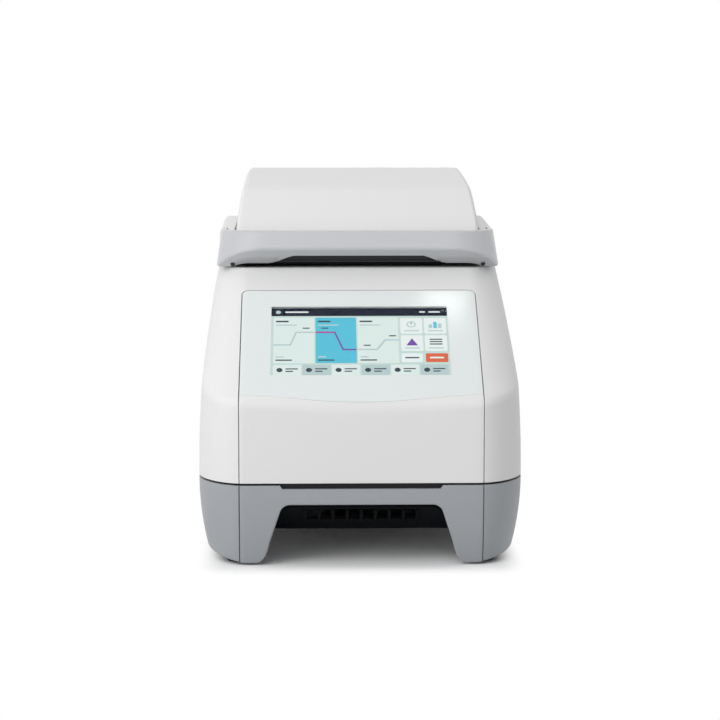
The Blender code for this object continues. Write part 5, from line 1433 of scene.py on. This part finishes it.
def make_screen():
    """The picture on the display: plain fields, columns, a stepped line and tiles."""
    colours = {
        "mint": (0.62, 0.77, 0.72), "pale": (0.79, 0.90, 0.87), "navy": (0.008, 0.013, 0.030),
        "blue": (0.11, 0.58, 0.76), "magenta": (0.50, 0.03, 0.28), "purple": (0.20, 0.09, 0.42),
        "orange": (0.78, 0.15, 0.07), "teal": (0.52, 0.66, 0.67), "ink": (0.05, 0.07, 0.09), "white": (0.88, 0.95, 0.93)}
    names = list(colours)
    for name in names:
        PAINT["lit_" + name] = lit_colour("lit_" + name, colours[name])
    parts = []

    def shape(points, colour, layer):
        rings = []
        for out in (layer * 0.00003, layer * 0.00003 + 0.00002):
            rings.append([on_slope(x / 1000, SCREEN_START + v / 1000, -0.00249 + out) for x, v in points])
        verts, faces, _ = lofted(rings)
        parts.append((verts, faces, [names.index(colour)] * len(faces)))

    def tile(left, low, right, top, colour, layer, radius=0.0):
        shape(rounded_box(left, low, right, top, radius, 4), colour, layer)

    def dot(x, v, radius, colour, layer):
        shape(arc(x, v, radius, 0, 345, 23), colour, layer)

    tile(-76, 0, 76, 87, "mint", 0)
    tile(-76, 77, 76, 87, "navy", 1)
    dot(-70, 82, 2.2, "teal", 2)
    for left, right in ((-64, -44), (52, 57), (60, 70)):
        tile(left, 81.2, right, 83.0, "white", 2, 0.6)
    columns = ((-74, -39), (-38, -3), (-2, 33))
    for index, (left, right) in enumerate(columns):
        tile(left, 17, right, 75, "blue" if index == 1 else "pale", 1, 1.2)
        tile(left + 2, 69, left + 13, 71, "ink", 2, 0.6)
        tile(left + 2, 64.5, left + 20, 66, "teal", 2, 0.5)
        tile(left + 2, 20, left + 16, 21.6, "ink", 2, 0.5)
        tile(left + 2, 24, left + 9, 25.6, "teal", 2, 0.5)
    levels = ((-74, -60, 40), (-54, -39, 56), (-38, -22, 56), (-14, -3, 34), (-2, 14, 34), (22, 33, 46))
    tones = ("teal", "teal", "magenta", "purple", "teal", "teal")
    for (start, end, v), tone in zip(levels, tones):
        tile(start, v - 0.9, end, v + 0.9, tone, 2)
    for (_, x, v), (after, _, height), tone in zip(levels[::2], levels[1::2], ("teal", "purple", "teal")):
        shape([(x, v - 0.9), (x + 1.0, v - 0.9), (after, height - 0.9), (after, height + 0.9), (after - 1.0, height + 0.9),
               (x, v + 0.9)] if height > v else
              [(x, v - 0.9), (after - 1.0, height - 0.9), (after, height - 0.9), (after, height + 0.9), (x + 1.0, v + 0.9),
               (x, v + 0.9)], tone, 3)
    for x, v in ((-46, 60), (-30, 60), (6, 38), (28, 50)):
        tile(x - 3, v + 0.6, x + 3, v + 2.0, "ink", 3, 0.5)
    for row, low in enumerate((54, 32)):
        for column, left in enumerate((35, 55.5)):
            tile(left, low, left + 19, low + 20, "white", 1, 1.5)
            tile(left + 3, low + 3, left + 16, low + 4.4, "teal", 2, 0.5)
            middle = left + 9.5
            if (row, column) == (0, 0):
                dot(middle, low + 12, 4.0, "teal", 2)
                dot(middle, low + 12, 2.8, "white", 3)
                tile(middle - 0.4, low + 12, middle + 0.4, low + 14.4, "ink", 4)
            elif (row, column) == (0, 1):
                for k, high in enumerate((5, 8, 6)):
                    tile(left + 4 + 4 * k, low + 7, left + 7 + 4 * k, low + 7 + high, "blue" if k == 1 else "teal", 2)
            elif (row, column) == (1, 0):
                shape([(middle - 5, low + 7), (middle + 5, low + 7), (middle, low + 16)], "purple", 2)
            else:
                for k in range(3):
                    tile(left + 4, low + 8 + 3 * k, left + 15, low + 9.4 + 3 * k, "ink", 2, 0.5)
    tile(35, 18, 53, 29, "white", 1, 1.2)
    tile(38, 22.8, 50, 24.4, "ink", 2, 0.5)
    tile(55.5, 18, 74.5, 29, "orange", 1, 1.2)
    tile(59, 22.6, 71, 24.6, "white", 2, 0.6)
    for k in range(6):
        left = -74 + k * 24.9
        tile(left, 2, left + 23.9, 15, "teal" if k % 2 else "pale", 1, 1.0)
        dot(left + 5.5, 8.5, 2.6, "ink", 2)
        tile(left + 10.5, 9.2, left + 21, 10.6, "ink", 2, 0.5)
        tile(left + 10.5, 6.2, left + 17, 7.6, "ink", 2, 0.5)
    made = piece("screen_picture", parts, ["lit_" + name for name in names], weld=1e-7)
    return fit(made, "base", "screen")


def grille_axes():
    """Low end, length and directions of the slanted intake grille's front face."""
    top = Vector((0, base_front_at(ARCH_TOP) + WALL + 0.001, ARCH_TOP - FIT))
    low = Vector((0, TUNNEL_END - 0.001, PLATE_BOTTOM))
    up = (top - low).normalized()
    out = Vector((1, 0, 0)).cross(up)
    return low + out * 0.0025, (top - low).length, up, out


def make_grille():
    """The black intake grille behind the arch, with ribs between its slots."""
    low, length, up, out = grille_axes()
    right = [(x, z) for x, z in arch_side(-FIT) if z > PLATE_BOTTOM]
    knee = arch_side(-FIT)[len(right)]
    share = (right[-1][1] - PLATE_BOTTOM) / (right[-1][1] - knee[1])
    right.append((right[-1][0] + (knee[0] - right[-1][0]) * share, PLATE_BOTTOM))
    span = ARCH_TOP - FIT - PLATE_BOTTOM
    right = [(x, (z - PLATE_BOTTOM) / span * length) for x, z in reversed(right)]
    outlines = [[(x, b, RIM) for x, b in right] + [(-x, b, RIM) for x, b in reversed(right)]]
    for step in range(8):
        x = (step - 3.5) * 0.0118
        slot = rounded_box(x - 0.0044, 0.47 * length, x + 0.0044, 0.94 * length, 0.0015, 3)
        outlines.append([(a, b, RIM) for a, b in reversed(slot)])
    plate = moulded(lambda a, b: (low + Vector((a, 0, 0)) + up * b, out), outlines,
                    (spread((-0.07, 0.07, 12)), spread((0, length, 6))), 0.0025, step=0.006)
    rib = rounded_box(-0.0013, -0.29 * length, 0.0013, 0.27 * length, 0.0012, 3)
    rib = lofted([[(x * grow, y, z) for x, y in rib] for z, grow in ((-0.0005, 1.0), (0.0016, 1.0), (0.0022, 0.6))])
    place = Matrix((Vector((1, 0, 0)), up, out)).transposed().to_4x4()
    place.translation = low + up * (0.69 * length)
    # The grille's black is darker than its plastic, as painted shade under the arch.
    ribs = GRID.grown(rib, "vent_black", place, Columns=9, Rows=1, Pitch=0.0118)
    made = piece("intake_grille_ribbed", [plate, ribs], ["vent_black"])
    fit(made, "base", "black_plastic", "intake_grille")
    # A dark strip behind the skirt's slot, painted near-black to stand for the shade inside the slot.
    strip = block((-0.072, FRONT + 0.0036, SEAM - 0.008), (0.072, FRONT + 0.0052, SEAM + 0.004), 0.0006)
    fit(piece("slot_backing", [strip], ["slot_grey"]), "base", "charcoal_plastic")


def make_feet():
    """Four dished rubber feet on their stems."""
    for end, x, y, wide, shift, high in (("front", 0.100, -0.177, 0.0140, 0.0055, FOOT_TOP),
                                         ("rear", 0.105, 0.185, 0.0103, 0.0, REAR_FOOT_TOP)):
        for side, sign in (("left", -1), ("right", 1)):
            pad = turned([(0.0008, 0), (0.0008, 0.6 * wide), (0, 0.68 * wide), (0, wide - 0.0011), (0.0004, wide - 0.0003),
                          (0.0012, wide), (high - FIT - 0.0004, wide), (high - FIT, wide - 0.0004), (high - FIT, 0)],
                         (sign * x, y, 0), (0, 0, 1), 48)
            stem = turned([(high - FIT - 0.0002, 0), (high - FIT - 0.0002, 0.003), (high + 0.0042, 0.003),
                           (high + 0.0045, 0.0026), (high + 0.0045, 0)], (sign * (x - shift), y, 0), (0, 0, 1), 24)
            made = piece(f"foot_{end}_{side}_moulded", [pad, stem], ["rubber"], sharp_deg=50.0)
            fit(made, "base", "rubber", f"foot_{end}_{side}")


def make_sample_block():
    """The sample block with its conical wells."""
    half = WELL_PITCH / 2
    angles = [math.pi / 12 * k for k in range(24)]
    tile = []
    for angle in angles:
        across, along = math.cos(angle), math.sin(angle)
        reach = half / max(abs(across), abs(along))
        tile.append((across * reach, along * reach, 0.0))
    rings = [tile]
    for radius, z in ((0.0037, 0.0), (0.0033, -0.0003), (0.0031, -0.0012), (0.0026, -0.0085), (0.0016, -0.0148),
                      (0.0008, -0.0161), (0.0, -0.0165)):
        rings.append([(math.cos(angle) * radius, math.sin(angle) * radius, z) for angle in angles])
    place = Matrix.Translation((0, BLOCK_Y, BLOCK_TOP))
    wells = GRID.grown(lofted(rings, caps=False), "aluminium", place, Columns=WELL_COLUMNS, Rows=WELL_ROWS,
                       Pitch=WELL_PITCH)
    ticks = [half * math.tan(math.radians(angle)) for angle in (-45, -30, -15, 0, 15, 30)]
    wide, deep = WELL_COLUMNS * half, WELL_ROWS * half
    across = [(2 * k + 1) * half - wide + tick for k in range(WELL_COLUMNS) for tick in ticks]
    along = [(2 * k + 1) * half - deep + tick for k in range(WELL_ROWS) for tick in ticks]
    loop = [(x, -deep) for x in across] + [(wide, y) for y in along]
    loop += [(-x, deep) for x in across] + [(-wide, -y) for y in along]
    ease = 0.0007
    rings = []
    for grow, z in ((0.0, BLOCK_TOP), (BLOCK_MARGIN - ease, BLOCK_TOP), (BLOCK_MARGIN, BLOCK_TOP - ease),
                    (BLOCK_MARGIN, BLOCK_LOW + ease), (BLOCK_MARGIN - ease, BLOCK_LOW), (-wide / 2, BLOCK_LOW)):
        rings.append([(x * (wide + grow) / wide, BLOCK_Y + y * (deep + grow) / deep, z) for x, y in loop])
    verts, faces, _ = lofted(rings, caps=False)
    faces.append(tuple(range(len(verts) - len(loop), len(verts))))
    made = piece("sample_block_machined", [wells, (verts, faces, None)], ["aluminium"], sharp_deg=50.0)
    return fit(made, "base", "aluminium", "sample_block")


def make_fans():
    """Two rotors with twisted, curved blades."""
    front, rear = FAN_BACK - 0.025, FAN_BACK - 0.0034
    rings = []
    for k in range(8):
        share = k / 7
        lean = math.radians(48 - 20 * share)
        half = 0.0100 - 0.0005 * share
        ring = []
        for face in (1, -1):
            for step in range(-5, 6):
                part = step / 5 * face
                along = part * half
                thick = 0.0011 * (1 - part ** 2) - 0.0004 + face * (0.0002 + 0.0005 * (1 - part ** 2))
                ring.append((0.0140 + 0.0213 * share, along * math.cos(lean) - thick * math.sin(lean),
                             along * math.sin(lean) + thick * math.cos(lean)))
        rings.append(ring)
    blade = lofted(rings)
    for side, sign in (("left", -1), ("right", 1)):
        place = Matrix(((1, 0, 0, sign * FAN_X), (0, 0, 1, (front + rear) / 2), (0, 1, 0, FAN_Z), (0, 0, 0, 1)))
        blades = RING.grown(blade, "black_plastic", place, Count=7)
        long = rear - front - 0.002
        hub = turned([(0, 0), (0, 0.0128), (0.0008, 0.0145), (0.0026, 0.0155), (long - 0.0008, 0.0155), (long, 0.0147),
                      (long, 0.0060), (long - 0.0006, 0.0052), (long - 0.0006, 0)],
                     (sign * FAN_X, front + 0.002, FAN_Z), (0, 1, 0), 48)
        made = piece(f"fan_rotor_{side}_bladed", [blades, hub], ["black_plastic"])
        fit(made, f"fan_{side}", "black_plastic", f"fan_rotor_{side}")


def screw_cell():
    """A countersunk screw head with a six-sided socket, facing +Z at the origin."""
    angles = [math.pi / 12 * k for k in range(24)]
    rings = []
    for radius, z in ((0.0, -0.0019), (0.0012, -0.0019), (0.0027, -0.0004), (0.0028, -0.0002), (0.0026, 0.0)):
        rings.append([(math.cos(a) * radius, math.sin(a) * radius, z) for a in angles])
    for reach, z in ((0.00125, 0.0), (0.00120, -0.0001), (0.00120, -0.0011), (0.0, -0.0013)):
        ring = []
        for a in angles:
            radius = reach / math.cos(a % (math.pi / 3) - math.pi / 6)
            ring.append((math.cos(a) * radius, math.sin(a) * radius, z))
        rings.append(ring)
    return lofted(rings, caps=False)


def rear_screws():
    """Where the rear panel's screws are, in X and Z."""
    spots = [(sign * 0.1045, z) for sign in (-1, 1) for z in (0.0345, 0.128, 0.2205)] + [(0.0, 0.2205), (0.0, 0.0345)]
    for sign in (-1, 1):
        spots += [(sign * FAN_X + a * 0.0357, FAN_Z + b * 0.0357) for a in (-1, 1) for b in (-1, 1)]
    return spots


def make_rear_panel():
    """The coated rear panel with its fan vents, socket openings and screws."""
    edge = rounded_box(-REAR_PANEL_HALF, REAR_PANEL_LOW, REAR_PANEL_HALF, REAR_PANEL_TOP, 0.0015, 4)
    outlines = [[(a, b, RIM) for a, b in edge]]
    openings = []
    for sign in (-1, 1):
        for step in range(-4, 5):
            height = step * 0.0082
            reach = math.sqrt(0.037 ** 2 - height ** 2)
            for near, far in ((-reach, -0.002), (0.002, reach)):
                openings.append((sign * FAN_X + near, FAN_Z + height - 0.0025, sign * FAN_X + far,
                                 FAN_Z + height + 0.0025, 0.0020))
    openings += [(-0.1003, 0.0377, -0.0417, 0.0663, 0.0004), (0.0217, 0.0386, 0.0383, 0.0528, 0.0004),
                 (0.0537, 0.0386, 0.0688, 0.0554, 0.0004)]
    for left, low, right, top, radius in openings:
        line = rounded_box(-right, low, -left, top, radius, 4)
        outlines.append([(a, b, 0.0003) for a, b in reversed(line)])
    for x, z in rear_screws():
        outlines.append([(a, b, 0.0004) for a, b in arc(-x, z, 0.0031, 0, -342, 19)])
    lines = (spread((-REAR_PANEL_HALF, REAR_PANEL_HALF, 22)), spread((REAR_PANEL_LOW, REAR_PANEL_TOP, 20)))
    sheet = moulded(lambda a, b: (Vector((-a, REAR, b)), Vector((0, 1, 0))), outlines, lines, 0.0025, step=0.008)
    fit(piece("rear_panel_punched", [sheet], ["panel_paint"]), "base", "panel_paint", "rear_panel")
    spots = [((x, REAR - 0.0003, z), (-math.pi / 2, 0.0, 0.0)) for x, z in rear_screws()]
    for x in (-0.118, 0.118):
        spots += [((x, y, PLATE_BOTTOM - 0.0004), (math.pi, 0.0, 0.0)) for y in (-0.148, 0.02, 0.188)]
    screws = SPOTS.grown(screw_cell(), "steel", spots=spots)
    fit(piece("case_screws", [screws], ["steel"], weld=1e-6), "base", "steel")


def make_springs():
    """The lid's counter springs and the heated plate's pressure springs."""
    floor = DECK + FIT + 0.0009
    for side, name in ((-1, "left"), (1, "right")):
        points = []
        for step in range(157):
            angle = math.pi + 13 * math.pi * step / 156
            points.append(Vector((side * (0.025 + 0.030 * step / 156), HINGE.y + 0.0054 * math.cos(angle),
                                  HINGE.z + 0.0054 * math.sin(angle))))
        ends = [Vector((point.x, point.y, floor)) for point in (points[0], points[-1])]
        wire = wound([ends[0], *points, ends[1]], 0.0009)
        fit(piece(f"counter_spring_{name}_wound", [wire], ["steel"]), "base", "steel", f"counter_spring_{name}")
    for index, (x, y) in enumerate(((-1, -1), (1, -1), (-1, 1), (1, 1))):
        points = []
        for step in range(97):
            angle = 8 * math.pi * step / 96
            points.append(Vector((x * 0.0435 + 0.0055 * math.cos(angle), BLOCK_Y + y * 0.026 + 0.0055 * math.sin(angle),
                                  0.2538 + 0.0146 * step / 96)))
        node = f"pressure_spring_{index + 1}"
        made = fit(piece(node + "_wound", [wound(points, 0.0007)], ["steel"]), "press_plate", "steel", node)
        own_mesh(made)


def make_hinge_shaft():
    """The steel hinge shaft with its ring grooves."""
    half = [(0, 0), (0, 0.0034), (0.0006, 0.004), (0.0030, 0.004), (0.0030, 0.0033), (0.0042, 0.0033), (0.0042, 0.004)]
    long = 0.183
    line = half + [(long - along, radius) for along, radius in reversed(half)]
    made = piece("hinge_shaft_turned", [turned(line, (-long / 2, HINGE.y, HINGE.z), (1, 0, 0))], ["steel"])
    return fit(made, "base", "steel", "hinge_shaft")


def repaint(item, paint, low, high):
    """Give the faces inside a box another finish."""
    item.data.materials.append(PAINT[paint])
    for face in item.data.polygons:
        if all(a < part < b for a, part, b in zip(low, face.center, high)):
            face.material_index = len(item.data.materials) - 1


def make_fittings():
    """Eased and finished copies of the plainer solids."""
    inlet = dressed("power_inlet", 0.0005)
    repaint(inlet, "brass", (-0.0905, 0.199, 0.047), (-0.0705, 0.2125, 0.057))
    dressed("switch_rocker", 0.0012, 4)
    port = dressed("network_port", 0.0003)
    contact = lofted([[(x, y, z) for x, y in rounded_box(-0.00018, -0.004, 0.00018, 0.004, 0.0001, 1)]
                      for z in (0.0, 0.0003)])
    place = Matrix.Translation((0.030, 0.2085, 0.0421))
    contacts = GRID.grown(contact, "brass", place, Columns=8, Rows=1, Pitch=0.00102)
    fit(piece("network_contacts", [contacts], ["brass"], weld=1e-6), "base", "steel")
    usb = dressed("usb_port", 0.0003)
    repaint(usb, "black_plastic", (0.0555, 0.2026, 0.0395), (0.0670, 0.2130, 0.0545))
    for node, width in (("block_frame", 0.0008), ("lid_seal", 0.0004), ("lid_frame", 0.0008),
                        ("lid_hinge_arm_left", 0.0008), ("lid_hinge_arm_right", 0.0008),
                        ("hinge_bracket_left", 0.0008), ("hinge_bracket_right", 0.0008), ("heated_plate", 0.0006),
                        ("heater_mat", 0.0003), ("spring_bridge", 0.0005), ("latch_hook_left", 0.0005),
                        ("latch_hook_right", 0.0005), ("striker_left", 0.0004), ("striker_right", 0.0004),
                        ("base_plate", 0.0005), ("lcd_module", 0.0004), ("fan_frame_left", 0.0006),
                        ("fan_frame_right", 0.0006), ("power_supply", 0.0006), ("heat_sink", 0.0003)):
        dressed(node, width)


place_camera()
light_studio()
make_upper_housing()
make_front_panel()
make_glass()
make_screen()
make_lower_housing()
make_front_skirt()
make_grille()
make_feet()
make_lid_shell()
make_handle_bail()
make_handle_arms()
make_sample_block()
make_fans()
make_rear_panel()
make_springs()
make_hinge_shaft()
make_fittings()

for node in ("display_board", "main_board", "air_duct", *(f"peltier_{k}" for k in range(1, 7))):
    mesh = frame["nodes"][node].data
    mesh.materials.clear()
    mesh.materials.append(PAINT[SLOT_OF[node]])
